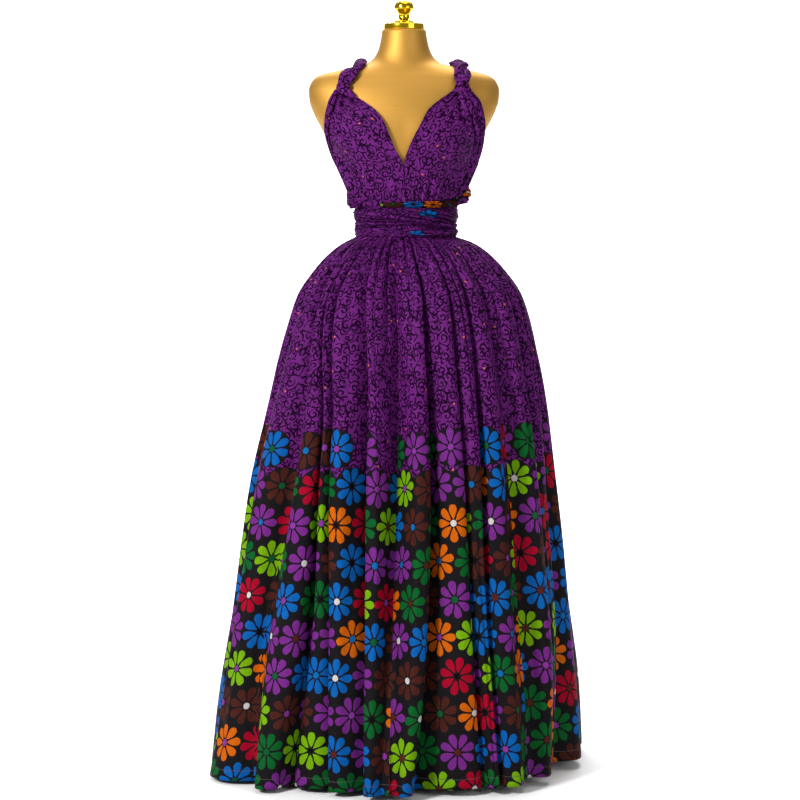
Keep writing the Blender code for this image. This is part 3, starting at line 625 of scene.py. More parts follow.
# %% Node group for woven threads and small creases
weave, weave_in, weave_out = new_group(
    "woven threads",
    [("Vector", "Vector", None), ("Threads", "Float", 1400.0), ("Creases", "Float", 40.0)],
    [("Height", "Float"), ("Shade", "Float")])
place = Wire(weave_in, "Vector")
waves = Wire(weave_in, "Threads") * math.pi
warp_place, weft_place, _ = parts("SeparateXYZ", place)
threads = calc("SINE", warp_place * waves) * calc("SINE", weft_place * waves)
crease_noise_inputs = {"Vector": place, "Scale": Wire(weave_in, "Creases"), "Detail": 4.0, "Roughness": 0.55}
crease_noise = wire("TexNoise", crease_noise_inputs, "Fac")
# Shade is the crease noise, low in the creases' troughs; the cotton paints shade into its colour there
feed(weave_out, Height=threads * 0.06 + crease_noise, Shade=crease_noise)

# %% [markdown]
# ## The hem, and the finished cotton
# The hem is turned up and stitched all round, so a fine line of thread runs 20 mm above the edge
# and pulls the cloth in. Every piece is cut from the same cotton: the field and the border are
# laid side by side by the border's share, the colour is darkened a little in the troughs of the
# small creases as painted shade, and the threads, the small creases and the stitches make the
# bump. Waxed cotton is nearly matt.

# %% Node group for the stitches of the hem
HEM_STITCH_HEIGHT = 0.020
STITCH_LENGTH = 0.0036
stitching, stitching_in, stitching_out = new_group(
    "hem stitches", [("Cloth", "Vector", None)], [("Thread", "Float"), ("Height", "Float")])
along, up, _ = parts("SeparateXYZ", Wire(stitching_in, "Cloth"))
off_line = calc("ABSOLUTE", up - HEM_STITCH_HEIGHT)
stitch = calc("LESS_THAN", calc("FRACT", along / STITCH_LENGTH), 0.72)
turned_up = step_down(up, 0.0, HEM_STITCH_HEIGHT)
pinch = step_down(off_line, 0.0006, 0.0030)
feed(stitching_out, Thread=step_down(off_line, 0.00045, 0.00075) * stitch, Height=turned_up * 0.2 - pinch)
print("stitches", round(PANEL_WIDTH / STITCH_LENGTH), "along a panel's hem")

# %% Wax print cotton
cotton, cotton_tree, cotton_shader = new_material("wax print cotton")
cloth = Wire(put(cotton_tree, "UVMap", uv_map="Cloth"))
field_part, border_part, stitch_part = (
    put(cotton_tree, "Group", {"Cloth": cloth}, node_tree=group) for group in (field, border, stitching))
weave_inputs = {"Vector": cloth, "Threads": 1100.0, "Creases": 60.0}
weave_part = put(cotton_tree, "Group", weave_inputs, node_tree=weave)
shade = Wire(weave_part, "Shade")
printed = mix_colour(Wire(border_part, "Share"), Wire(field_part, "Color"), Wire(border_part, "Color"))
full_dye = (DYE_DEPTH,) * 3 + (1.0,)
# A darker dye, laid below where the small creases dip: painted shade in their troughs
crease_shade_dye = (DYE_DEPTH * 0.88,) * 3 + (1.0,)
dyed = mix_colour(1.0, printed, mix_colour(step_up(shade, 0.35, 0.75), crease_shade_dye, full_dye), "MULTIPLY")
sewn = mix_colour(Wire(stitch_part, "Thread"), dyed, srgb(74, 66, 72))
height = Wire(weave_part, "Height") + Wire(stitch_part, "Height")
surface(cotton_shader, sewn, shade, (0.52, 0.74), (height, 0.35, 0.0012))
cotton_shader.inputs["Specular IOR Level"].default_value = 0.03

# %% [markdown]
# ## The gold form and its stand
# The form's cover is gold satin: smooth, with wide soft highlights and a very fine weave. A metal
# shader with a fairly rough surface gives that lustre. The cap and the finial are polished gold,
# and the pole and base, which the skirt hides, are brushed steel.

# %% Gold satin, polished gold and brushed steel
satin, satin_tree, satin_shader = new_material("gold satin")
place = Wire(put(satin_tree, "TexCoord"), "Object")
weave_inputs = {"Vector": place, "Threads": 900.0, "Creases": 12.0}
satin_weave = put(satin_tree, "Group", weave_inputs, node_tree=weave)
streaks = noise(wire("Mapping", {"Vector": place, "Scale": (9.0, 9.0, 260.0)}), 1.0, 3.0)
gold_tone = mix_colour(step_up(streaks, 0.30, 0.70), srgb(187, 141, 61), srgb(190, 143, 64))
satin_bump = (Wire(satin_weave, "Height"), 0.12, 0.0006)
surface(satin_shader, gold_tone, Wire(satin_weave, "Shade"), (0.52, 0.62), satin_bump)
satin_shader.inputs["Metallic"].default_value = 0.80


def plain_metal(name, scale, detail, dark, light, roughness):
    """A metal whose colour and roughness vary with one noise; the scale differs with direction."""
    metal, tree, shader = new_material(name)
    place = Wire(put(tree, "TexCoord"), "Object")
    uneven = noise(wire("Mapping", {"Vector": place, "Scale": scale}), 1.0, detail)
    surface(shader, mix_colour(uneven, dark, light), uneven, roughness)
    shader.inputs["Metallic"].default_value = 1.0
    return metal


polished = plain_metal(
    "polished gold", (45.0, 45.0, 45.0), 5.0, srgb(214, 172, 20), srgb(246, 212, 56), (0.10, 0.22))
steel = plain_metal(
    "brushed steel", (30.0, 30.0, 400.0), 4.0, srgb(140, 138, 134), srgb(180, 178, 174), (0.28, 0.46))
for node in ("form_pole", "form_base"):
    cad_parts[node].data.materials.clear()
    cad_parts[node].data.materials.append(steel)

# %% Torso of the form
TORSO_SIDES = 144
TORSO_STEP = 0.0045
levels = np.linspace(TORSO[0].z, NECK_TOP, round((NECK_TOP - TORSO[0].z) / TORSO_STEP))
around = np.linspace(-math.pi, math.pi, TORSO_SIDES, endpoint=False)
torso_rings = form_point(levels[:, None], around[None, :])
torso_satin = tube("form_torso_satin", torso_rings, satin, "form_torso")

# %% Neck cap and finial, turned
CAP_RADIUS = 0.0405
CAP_HEIGHT = 0.0122
RIM = 0.0022
FINIAL_HEIGHT = 0.0468
TURNED_SIDES = 96
cap_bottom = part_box("form_neck_cap")[0].z
cap_top = cap_bottom + CAP_HEIGHT


def turned(name, profile):
    """Gold body turned round the stand's axis from (radius, height) pairs that run upwards."""
    radius, height = np.array(profile).T[..., None]
    turns = np.linspace(0, 2 * math.pi, TURNED_SIDES, endpoint=False)
    rings = np.stack([radius * np.cos(turns), radius * np.sin(turns), height + 0 * turns], -1)
    tube(name + "_polished", rings, polished, name)


def rounded_rim(radius, z, rim, start, end, count=6):
    """Points of a rim's arc, from one angle to another in degrees."""
    arc = np.radians(np.linspace(start, end, count))
    return [(radius - rim + rim * math.cos(turn), z + rim * math.sin(turn)) for turn in arc]


cap_profile = [(CAP_RADIUS * 0.4, cap_bottom)]
cap_profile += rounded_rim(CAP_RADIUS, cap_bottom + RIM, RIM, -90, 0)
cap_profile += rounded_rim(CAP_RADIUS, cap_top - RIM, RIM, 0, 90)
cap_profile += [(CAP_RADIUS * 0.55, cap_top), (0.004, cap_top)]
turned("form_neck_cap", cap_profile)
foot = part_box("form_finial")[0].z
finial_shape = curve(
    (0.0, 0.0035, 0.006, 0.0095, 0.0145, 0.0195, 0.025, 0.03, 0.035, 0.0415, 0.0455, FINIAL_HEIGHT),
    (0.0196, 0.0196, 0.015, 0.0116, 0.0109, 0.0124, 0.0164, 0.0197, 0.0191, 0.0149, 0.0079, 0.003),
)
finial_heights = np.linspace(0, FINIAL_HEIGHT, 60)
turned("form_finial", [(float(finial_shape(h)), foot + h) for h in finial_heights])

# %% [markdown]
# ## The skirt
# Two widths of cloth, each 1.83 m across and 1.14 m long, are gathered into the waist. Near the
# waist there are twenty-eight gathers in each; lower down they join into a dozen deep folds. We
# place those folds from the photograph, as lines that run from waist to hem, and let the cloth
# swell between them. Where a fold's side hangs over the next, its hump leans that way.
# The print is laid on from the middle of each fold outwards, at its true size, so what doesn't fit
# is hidden in the trough, as it is on the real skirt: daisies are cut at the folds.

# %% Plan and folds of the skirt
SKIRT_TOP = 1.0665
WAIST_Z, HIP_Z, THIGH_Z, KNEE_Z, HEM_Z = 1.060, 0.930, 0.690, 0.320, 0.013
GATHERS = 28
Plan = namedtuple("Plan", "z left right front back")
SKIRT = table(Plan, [
    (SKIRT_TOP, 0.0926, 0.1006, 0.0884, 0.0842),
    (1.0575, 0.0944, 0.1024, 0.0896, 0.0856),
    (1.048, 0.111, 0.127, 0.105, 0.105),
    (1.024, 0.144, 0.164, 0.136, 0.138),
    (0.99, 0.176, 0.198, 0.166, 0.17),
    (0.94, 0.21, 0.233, 0.2, 0.208),
    (0.87, 0.234, 0.256, 0.23, 0.24),
    (0.75, 0.266, 0.281, 0.261, 0.271),
    (0.57, 0.308, 0.306, 0.294, 0.304),
    (0.36, 0.339, 0.33, 0.321, 0.33),
    (0.17, 0.366, 0.348, 0.339, 0.347),
    (HEM_Z, 0.383, 0.354, 0.348, 0.356),
])
skirt_curves = column_curves(SKIRT, sign=-1)
SQUARENESS = 0.25
HEM_TILT = 0.006

# A fold line: its gather at the waist, its place round the skirt in degrees at four heights, its
# depth, how far the crown after it stands out, and the side that hangs over it
Fold = namedtuple("Fold", "gather hip thigh knee hem deep_hip deep_knee deep_hem crown_knee crown_hem edge")
FRONT_FOLDS = table(Fold, [
    (0, -90, -90, -90, -90, 0.004, 0.01, 0.008, 0.004, 0.006, 0),
    (3, -72, -77, -74, -72, 0.006, 0.012, 0.01, 0.01, 0.04, 0),
    (5, -54, -52, -57, -49, 0.009, 0.02, 0.008, 0.012, 0.034, 0),
    (7, -44, -34, -33, -35, 0.01, 0.032, 0.032, -0.014, -0.012, -1),
    (8, -37, -28, -22, -20, 0.007, 0.026, 0.022, 0.006, 0.006, 1),
    (10, -18, -12, -10, -9, 0.012, 0.024, 0.02, -0.006, 0.032, 1),
    (13, -3, -2, -3, -3, 0.014, 0.027, -0.02, 0.008, 0.036, 0),
    (15, 7, 7, 5, 1, 0.01, 0.03, 0.032, 0.003, -0.002, -1),
    (17, 20, 20, 21, 24, 0.009, 0.022, 0.018, -0.002, 0.012, -1),
    (19, 30, 30, 28, 29, 0.008, 0.018, 0.015, 0.006, 0.018, 1),
    (21, 43, 45, 43, 42, 0.009, 0.013, 0.014, 0.008, 0.004, 0),
    (24, 62, 59, 56, 53, 0.009, 0.032, 0.052, -0.01, -0.034, -1),
    (26, 76, 73, 72, 70, 0.006, 0.018, 0.04, 0.002, 0.006, 0),
    (28, 90, 90, 90, 90, 0.004, 0.01, 0.008, 0.0, 0.0, 0),
])
BACK_FOLDS = table(Fold, [
    (0, -90, -90, -90, -90, 0.004, 0.01, 0.008, 0.006, 0.014, 0),
    (2, -77, -76, -74, -73, 0.007, 0.016, 0.02, 0.008, 0.012, 1),
    (5, -57, -58, -60, -62, 0.01, 0.024, 0.026, -0.004, 0.01, -1),
    (7, -45, -42, -43, -40, 0.008, 0.02, 0.018, 0.01, 0.02, 0),
    (10, -26, -25, -22, -24, 0.011, 0.028, 0.03, -0.006, -0.004, -1),
    (12, -13, -10, -12, -9, 0.009, 0.02, 0.018, 0.008, 0.022, 1),
    (15, 6, 6, 8, 10, 0.012, 0.026, 0.028, 0.006, 0.004, 0),
    (17, 20, 21, 19, 22, 0.008, 0.018, 0.016, 0.004, 0.016, -1),
    (20, 38, 37, 40, 38, 0.011, 0.028, 0.032, -0.008, 0.008, 1),
    (23, 58, 56, 55, 58, 0.009, 0.022, 0.02, 0.01, 0.024, 0),
    (26, 77, 75, 76, 74, 0.007, 0.018, 0.022, 0.004, 0.008, -1),
    (28, 90, 90, 90, 90, 0.004, 0.01, 0.008, 0.0, 0.0, 0),
])
# How far down each gather's own fold runs before it opens out, in metres, left to right
FRONT_REACH = (
    0.24, 0.16, 0.30, 0.38, 0.20, 0.34, 0.42, 0.22, 0.36, 0.30, 0.44, 0.18, 0.28, 0.40,
    0.22, 0.36, 0.30, 0.42, 0.24, 0.18, 0.38, 0.28, 0.44, 0.20, 0.32, 0.40, 0.22, 0.26,
)
BACK_REACH = FRONT_REACH[::-1]
# Soft dents on the crowns: the gather that they follow, the height they run between, how deep
# and how wide in gathers
Dent = namedtuple("Dent", "gather low high deep wide")
FRONT_DENTS = table(Dent, [
    (1.4, 0.1, 0.8, 0.005, 0.35),
    (4.1, 0.0, 0.62, 0.007, 0.3),
    (6.1, 0.15, 0.9, 0.006, 0.28),
    (9.1, 0.05, 0.7, 0.006, 0.25),
    (11.5, 0.45, 0.85, 0.006, 0.35),
    (12.2, -0.05, 0.4, 0.006, 0.3),
    (14.1, 0.0, 0.55, 0.004, 0.25),
    (16.1, 0.2, 0.8, 0.005, 0.25),
    (18.0, -0.05, 0.6, 0.005, 0.22),
    (22.3, 0.1, 0.75, 0.007, 0.35),
    (23.1, 0.35, 0.88, 0.005, 0.25),
    (25.1, 0.0, 0.6, 0.005, 0.25),
    (27.2, 0.1, 0.7, 0.004, 0.3),
])
BACK_DENTS = table(Dent, [
    (1.1, 0.15, 0.8, 0.004, 0.3),
    (3.6, 0.0, 0.7, 0.007, 0.35),
    (8.4, 0.05, 0.75, 0.007, 0.35),
    (13.4, 0.1, 0.85, 0.006, 0.35),
    (16.1, 0.0, 0.5, 0.004, 0.25),
    (18.5, 0.2, 0.8, 0.006, 0.35),
    (21.4, -0.05, 0.6, 0.007, 0.35),
    (24.4, 0.15, 0.8, 0.006, 0.35),
])
print("fold lines", len(FRONT_FOLDS) + len(BACK_FOLDS), "of", 2 * GATHERS, "gathers")

# %% Shape of a panel
PER_GATHER = 12
SKIRT_ROWS = 124
GATHER_DEPTH = 0.0080
LEAN = 0.22
FOLD_BOOST = 1.40
MEAN_REACH = 0.30
OVERHANG = 1.9
FOLD_FLATNESS = 2.4
BOX_FLATNESS = 3.2


def skirt_plan(angle, z, offset):
    """Points at an angle round the skirt, moved out from the plan that the folds stand on."""
    power = 2 / (2 + SQUARENESS * np.clip((WAIST_Z - z) / 0.1, 0, 1))
    across = np.copysign(np.abs(np.sin(angle)) ** power, np.sin(angle))
    along = np.copysign(np.abs(np.cos(angle)) ** power, np.cos(angle))
    width = np.where(across > 0, skirt_curves["right"](z), skirt_curves["left"](z))
    depth = np.where(along > 0, skirt_curves["front"](z), skirt_curves["back"](z))
    drop = HEM_TILT * across * np.maximum(0.0, 1 - z / HIP_Z) ** 2
    return np.stack([(width + offset) * across, -(depth + offset) * along, z + drop], -1)


def fold_hump(t, left_edge, right_edge):
    """Rise of the cloth between two fold lines; it is steep next to a line that it hangs over."""
    t = np.where(right_edge, t ** OVERHANG, np.where(left_edge, 1 - (1 - t) ** OVERHANG, t))
    flatness = np.where(left_edge & right_edge, BOX_FLATNESS, FOLD_FLATNESS)
    return 1 - np.abs(2 * t - 1) ** flatness


def fold_tables(folds, z):
    """Each fold's place, depth and crown at each height, a row for each height."""
    low_to_high = (HEM_Z, KNEE_Z, THIGH_Z, HIP_Z, WAIST_Z)
    places, depths, crowns = [], [], []
    for fold in folds:
        waist = -90.0 + 180.0 * fold.gather / GATHERS
        places.append(curve(low_to_high, (fold.hem, fold.knee, fold.thigh, fold.hip, waist))(z))
        depth_points = (fold.deep_hem, fold.deep_knee, fold.deep_hip, 0.0)
        depths.append(curve((HEM_Z, KNEE_Z, HIP_Z, WAIST_Z), depth_points)(z))
        crown_points = (fold.crown_hem, fold.crown_knee, 0.001, 0.0)
        crowns.append(curve((HEM_Z, KNEE_Z, HIP_Z, WAIST_Z), crown_points)(z))
    return np.array(places).T, np.array(depths).T, np.array(crowns).T


def skirt_panel(name, folds, reaches, dents, facing, seam_side, print_start):
    """One gathered panel with its folds, dents and print."""
    z = SKIRT_TOP - (SKIRT_TOP - HEM_Z) * np.linspace(0, 1, SKIRT_ROWS)[:, None] ** 1.25
    place = np.linspace(0, GATHERS, GATHERS * PER_GATHER + 1)
    gathers = np.array([fold.gather for fold in folds])
    which = np.clip(np.searchsorted(gathers, place, side="right") - 1, 0, len(folds) - 2)
    t = (place - gathers[which]) / (gathers[which + 1] - gathers[which])
    # Between two fold lines the cloth swells from trough to crown and leans over the next fold
    places, depths, crowns = fold_tables(folds, z[:, 0])
    turn = places[:, which] * (1 - t) + places[:, which + 1] * t
    deep = depths[:, which] * (1 - t) + depths[:, which + 1] * t
    deep = deep * (1 + FOLD_BOOST * np.exp(-((z - 0.66) / 0.42) ** 2))
    crown = crowns[:, which]
    over_left = np.array([fold.edge > 0 for fold in folds])[which]
    over_right = np.array([fold.edge < 0 for fold in folds])[which + 1]
    offset = -deep + (crown + deep) * fold_hump(t, over_left, over_right)
    lean = over_right * np.exp(-((t - 0.87) / 0.08) ** 2) - over_left * np.exp(-((t - 0.13) / 0.08) ** 2)
    turn = turn + np.degrees(LEAN * deep * lean / MEAN_REACH)
    # Each gather keeps its own small fold for a while, and none is as deep as the next
    below = WAIST_Z - z
    reach_here = np.array(reaches)[np.clip(np.floor(place).astype(int), 0, GATHERS - 1)]
    reach_before = np.array(reaches)[np.clip(np.ceil(place).astype(int) - 1, 0, GATHERS - 1)]
    fade = np.clip(1 - below / np.maximum(reach_here, reach_before), 0, 1) ** 0.8
    near_seam = 0.20 + 0.80 * np.clip(below / 0.02, 0, 1)
    ridge = np.abs(np.sin(math.pi * place)) ** 0.55 * 1.7 - 1
    uneven = 1 + 0.35 * np.sin(1.9 * place + 5 * z) + 0.20 * np.sin(4.3 * place)
    offset = offset + GATHER_DEPTH * uneven * near_seam * fade * ridge
    turn = turn + 0.7 * fade * np.clip(below / 0.05, 0, 1) * np.sin(13 * z + 2.3 * place)
    # Dents in the crowns, and a sway so that no line is ruled straight
    for dent in dents:
        strength = np.clip((z - dent.low) / 0.12, 0, 1) * np.clip((dent.high - z) / 0.12, 0, 1)
        drift = dent.gather + 0.12 * np.sin(9 * z + dent.gather)
        offset = offset - dent.deep * strength * np.exp(-((place - drift) / dent.wide) ** 2)
    sway = 0.0012 * np.sin(7.3 * z + 1.3 * place) + 0.0008 * np.sin(17.0 * z - 0.9 * place)
    offset = offset + sway * np.clip(below / 0.1, 0, 1)
    points = skirt_plan(np.radians(turn) + facing, z, offset)
    points[:, 0, 1] = points[:, -1, 1] = seam_side
    # The print: from the middle of each fold outwards at its true size, and a jump in each trough
    lengths = run_along(points[::-1])[::-1]
    cut = PANEL_WIDTH / GATHERS
    run = run_along(points, 1)
    u_left, u_right = run.copy(), run.copy()
    per_gather = np.diff(run[:, ::PER_GATHER])
    open_share = np.clip(1 - below / np.array(reaches), 0, 1)
    hidden = np.clip(cut - per_gather, 0, cut) * open_share
    for k in range(len(folds) - 1):
        first, last = folds[k].gather, folds[k + 1].gather
        middle_column = round((first + last) / 2 * PER_GATHER)
        start, end = first * PER_GATHER, last * PER_GATHER
        centre_u = print_start + (first + last) / 2 * cut
        local = run[:, start:end + 1] - run[:, middle_column:middle_column + 1]
        jump_left, jump_right = local.copy(), local.copy()
        for gather in range(first + 1, last):
            column = gather * PER_GATHER - start
            jump = (hidden[:, gather - 1] + hidden[:, gather])[:, None] / 2
            if gather * PER_GATHER < middle_column:
                jump_left[:, :column + 1] -= jump
                jump_right[:, :column] -= jump
            elif gather * PER_GATHER > middle_column:
                jump_left[:, column + 1:] += jump
                jump_right[:, column:] += jump
        u_right[:, start:end] = centre_u + jump_right[:, :-1]
        u_left[:, start + 1:end + 1] = centre_u + jump_left[:, 1:]
    u_left[:, 0] = u_right[:, 0]
    u_right[:, -1] = u_left[:, -1]
    print(name, "hem round", round(float(run[-1, -1]), 3), "length", round(float(lengths[0].mean()), 3))
    return cloth_sheet(name, points, u_left, u_right, lengths, replaces=name), float(run[:, -1].mean())


# %% Front and back panels
SEAM_GAP = 0.0004
skirt_front, visible_width = skirt_panel(
    "skirt_front", FRONT_FOLDS, FRONT_REACH, FRONT_DENTS, 0.0, -SEAM_GAP, 0.0)
skirt_back, _ = skirt_panel(
    "skirt_back", BACK_FOLDS, BACK_REACH, BACK_DENTS, math.pi, SEAM_GAP, 1.90)

# %% [markdown]
# ## Sash, straps and bodice: cloth folded into bands
# Each strap is 0.3 m wide and is drawn together into a narrow band wherever it leaves the bust, so
# what shows is a bundle of creases. A band follows stops on the form: an angle, a height, a width,
# a thickness and how far it lies off the form. Its cross-section is a low arch with its edges
# turned under, and sharp creases with round ridges between them run along it, or across it on a
# slant where the cloth is wound round the waist.

# %% Bands that lie on the form
SEAT = 0.0010
BAND_WALL = 0.0012
SASH_LIFT = 0.0054
BAND_ROWS = 57
EDGE_HEIGHT = 0.22
ARCH_HEIGHT = 0.70
ARCH_FLATNESS = 2.6
Stop = namedtuple("Stop", "angle z width thick lift")
BACK_STRAP_LEFT = table(Stop, [
    (-156.0, 1.367, 0.023, 0.012, SEAT),
    (-166.0, 1.31, 0.034, 0.01, SEAT),
    (-180.0, 1.252, 0.044, 0.009, SEAT),
    (-203.0, 1.205, 0.044, 0.009, SEAT),
    (-235.0, 1.168, 0.038, 0.01, SEAT),
    (-258.0, 1.149, 0.036, 0.015, 0.007),
    (-272.0, 1.143, 0.034, 0.014, 0.0135),
    (-288.0, 1.132, 0.02, 0.009, 0.0095),
    (-307.0, 1.1245, 0.015, 0.008, 0.007),
    (-340.0, 1.1225, 0.013, 0.006, 0.0068),
    (-388.0, 1.1215, 0.011, 0.005, 0.0064),
])
BACK_STRAP_RIGHT = table(Stop, [
    (153.3, 1.364, 0.023, 0.012, SEAT),
    (161.0, 1.315, 0.034, 0.01, 0.0045),
    (170.0, 1.285, 0.04, 0.009, 0.0115),
    (180.0, 1.252, 0.044, 0.009, 0.0115),
    (192.0, 1.225, 0.044, 0.009, 0.0105),
    (210.0, 1.195, 0.042, 0.009, 0.0035),
    (238.0, 1.162, 0.036, 0.01, SEAT),
    (262.0, 1.138, 0.026, 0.01, 0.0075),
    (276.0, 1.1255, 0.02, 0.014, 0.008),
    (288.0, 1.123, 0.015, 0.012, 0.007),
    (303.0, 1.1205, 0.009, 0.006, 0.0062),
])
WRAP_UPPER = table(Stop, [
    (-166.4, 1.099, 0.029, 0.008, SASH_LIFT),
    (-100.0, 1.099, 0.03, 0.009, SASH_LIFT),
    (-60.0, 1.0975, 0.033, 0.011, SASH_LIFT),
    (-20.0, 1.0985, 0.035, 0.013, 0.006),
    (15.0, 1.0985, 0.033, 0.013, 0.0067),
    (45.0, 1.097, 0.034, 0.011, SASH_LIFT),
    (75.0, 1.0995, 0.031, 0.01, SASH_LIFT),
    (110.0, 1.0985, 0.03, 0.009, SASH_LIFT),
    (166.4, 1.099, 0.029, 0.008, SASH_LIFT),
])
WRAP_LOWER = table(Stop, [
    (-166.4, 1.0692, 0.022, 0.007, SASH_LIFT),
    (-90.0, 1.07, 0.024, 0.007, SASH_LIFT),
    (-30.0, 1.0712, 0.027, 0.008, SASH_LIFT),
    (30.0, 1.0704, 0.025, 0.008, SASH_LIFT),
    (90.0, 1.0696, 0.023, 0.007, SASH_LIFT),
    (166.4, 1.0692, 0.022, 0.007, SASH_LIFT),
])
SASH_ROLL = table(Stop, [
    (-84.0, 1.106, 0.008, 0.004, 0.0095),
    (-58.0, 1.108, 0.014, 0.014, 0.012),
    (-25.0, 1.1045, 0.018, 0.022, 0.014),
    (8.0, 1.096, 0.018, 0.024, 0.015),
    (38.0, 1.0855, 0.015, 0.02, 0.012),
    (66.0, 1.08, 0.011, 0.012, 0.0085),
    (84.0, 1.0785, 0.007, 0.003, 0.0075),
])
SASH_ROLL_RIGHT = table(Stop, [
    (-2.0, 1.111, 0.008, 0.003, 0.013),
    (18.0, 1.109, 0.015, 0.015, 0.013),
    (44.0, 1.102, 0.016, 0.015, 0.0115),
    (70.0, 1.094, 0.013, 0.007, 0.009),
    (92.0, 1.089, 0.007, 0.003, 0.0075),
])
SASH_ROLL_LEFT = table(Stop, [
    (-86.0, 1.08, 0.008, 0.003, 0.0085),
    (-62.0, 1.0815, 0.013, 0.012, 0.011),
    (-34.0, 1.086, 0.014, 0.016, 0.013),
    (-8.0, 1.088, 0.012, 0.01, 0.014),
    (8.0, 1.088, 0.007, 0.003, 0.0135),
])
SASH_EDGE_RIGHT = table(Stop, [
    (3.0, 1.0655, 0.005, 0.003, 0.011),
    (20.0, 1.065, 0.01, 0.006, 0.0125),
    (45.0, 1.0655, 0.011, 0.006, 0.012),
    (70.0, 1.0668, 0.009, 0.005, 0.01),
    (88.0, 1.068, 0.005, 0.003, 0.0085),
])
Creases = namedtuple("Creases", "lengthwise slant deep sharp")


def crease_relief(place, sharp):
    """1 in a crease and 0 on the ridges between creases, which aren't evenly spaced."""
    uneven = place + 0.20 * np.sin(2.1 * place + 0.7) + 0.09 * np.sin(5.3 * place)
    return np.abs(np.cos(math.pi * uneven)) ** sharp


def lay_band(name, centres, outward, width, thick, creases, print_place,
             tilt=0.0, drawn_in=1.0):
    """Pleated band along its centre line: arched outside, with both edges turned under."""
    stations = len(centres)
    along = np.gradient(centres, axis=0)
    along = unit(along - outward * (along * outward).sum(1, keepdims=True))
    across = np.cross(along, outward)
    travel = run_along(centres)
    share = travel / travel[-1]
    s = np.linspace(-1, 1, BAND_ROWS)[:, None]
    arch = EDGE_HEIGHT + ARCH_HEIGHT * np.sqrt(np.clip(1 - np.abs(s) ** ARCH_FLATNESS, 0, 1))
    place = creases.lengthwise * (s + 1) / 2 - creases.slant * share[None, :]
    place = place + 0.10 * np.sin(9.0 * share[None, :] + 2.0 * s)
    second = crease_relief(place * 1.9 + 0.4, 2.0)
    relief = 1 - creases.deep * crease_relief(place, creases.sharp) - 0.10 * second
    height = arch * relief
    turned_under = np.array([(0.90, 0.03), (0.975, 0.10)])
    ends = np.ones((1, stations))
    s_rows = np.concatenate([-turned_under[:, :1], s, turned_under[::-1, :1]])
    height = np.concatenate([turned_under[:, 1:] * ends, height, turned_under[::-1, 1:] * ends])
    sideways = across[None] * (s_rows * width[None, :] / 2)[..., None]
    points = centres[None] + sideways + outward[None] * (height * thick[None, :])[..., None]
    arc = run_along(points)
    u = np.broadcast_to(print_place[0] + travel[None, :] * drawn_in, arc.shape)
    v = print_place[1] - arc * drawn_in - tilt * (travel - travel[-1] / 2)[None, :]
    piece = cloth_sheet(name, points, u, u, v, replaces=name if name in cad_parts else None)


def strap_on_form(name, stops, creases, print_place, step, tilt, drawn_in):
    """A stretch of strap that lies on the form along its stops."""
    corners = np.array([form_point(stop.z, math.radians(stop.angle)) for stop in stops])
    travel = run_along(corners)
    place = np.linspace(0, travel[-1], round(travel[-1] / step))
    value = read_all(column_curves(stops, travel), place)
    angle = np.radians(value["angle"])
    outward = form_normal(value["z"], angle)
    centres = form_point(value["z"], angle) + outward * value["lift"][:, None]
    lay_band(name, centres, outward, value["width"], value["thick"], creases, print_place,
             tilt=tilt, drawn_in=drawn_in)


# %% Waistband, sash and the straps across the back
BAND_BOTTOM = 1.0670
BAND_TOP = 1.0980
BAND_ROUND = 0.565
band_levels = np.linspace(BAND_TOP, BAND_BOTTOM, 8)[:, None]
band_turns = np.linspace(-math.pi, math.pi, 145)[None, :]
band_points = form_point(band_levels, band_turns, SEAT + BAND_WALL)
band_points[:, -1] = band_points[:, 0]
band_u = np.broadcast_to(BAND_ROUND / (2 * math.pi) * (band_turns + math.pi), band_points.shape[:2])
band_v = np.broadcast_to(band_levels - 0.30, band_points.shape[:2])
waistband = cloth_sheet("waistband", band_points, band_u, band_u, band_v, closed=True, replaces="waistband")

WIDE_STEP = 0.0035
FINE_STEP = 0.0020
roll_creases = Creases(1.8, 1.4, 0.45, 4.0)
for name, stops, creases, print_place, under, step, tilt, drawn_in in (
    ("wrap_upper", WRAP_UPPER, Creases(2.2, 11.0, 0.62, 3.0), (0.31, 0.79), "waistband", WIDE_STEP, 0.0, 1.0),
    ("wrap_lower", WRAP_LOWER, Creases(2.4, 4.0, 0.50, 4.0), (0.02, 0.82), "waistband", WIDE_STEP, 0.0, 1.3),
    ("back_strap_left", BACK_STRAP_LEFT, Creases(4.0, 1.5, 0.50, 4.0), (0.416, 0.612), "form_torso",
     WIDE_STEP, 0.0, 1.8),
    ("back_strap_right", BACK_STRAP_RIGHT, Creases(4.0, -1.2, 0.45, 4.0), (0.22, 0.88), "form_torso",
     WIDE_STEP, 0.0, 1.0),
    ("sash_roll", SASH_ROLL, roll_creases, (0.70, 0.90), "wrap_upper", FINE_STEP, 0.0, 1.0),
    ("sash_roll_left", SASH_ROLL_LEFT, roll_creases, (0.40, 0.93), "wrap_upper", FINE_STEP, 0.0, 1.0),
    ("sash_roll_right", SASH_ROLL_RIGHT, roll_creases, (0.215, 0.676), "wrap_upper", FINE_STEP, 0.7, 1.6),
    ("sash_edge_right", SASH_EDGE_RIGHT, roll_creases, (0.552, 0.680), "wrap_lower", FINE_STEP, 0.0, 1.6),
):
    strap_on_form(name, stops, creases, print_place, step, tilt, drawn_in)

# %% [markdown]
# ## The bodice
# On each side the strap is gathered into the waist, spreads smooth over the cup, and is drawn
# together again below the shoulder, where the twist begins. Short gathers run up from the waist
# and down from the rope and die out on the cup. On the viewer's right the outer side is pulled
# into deep creases; on the left the top edge is folded over. The V edges are narrow hems.

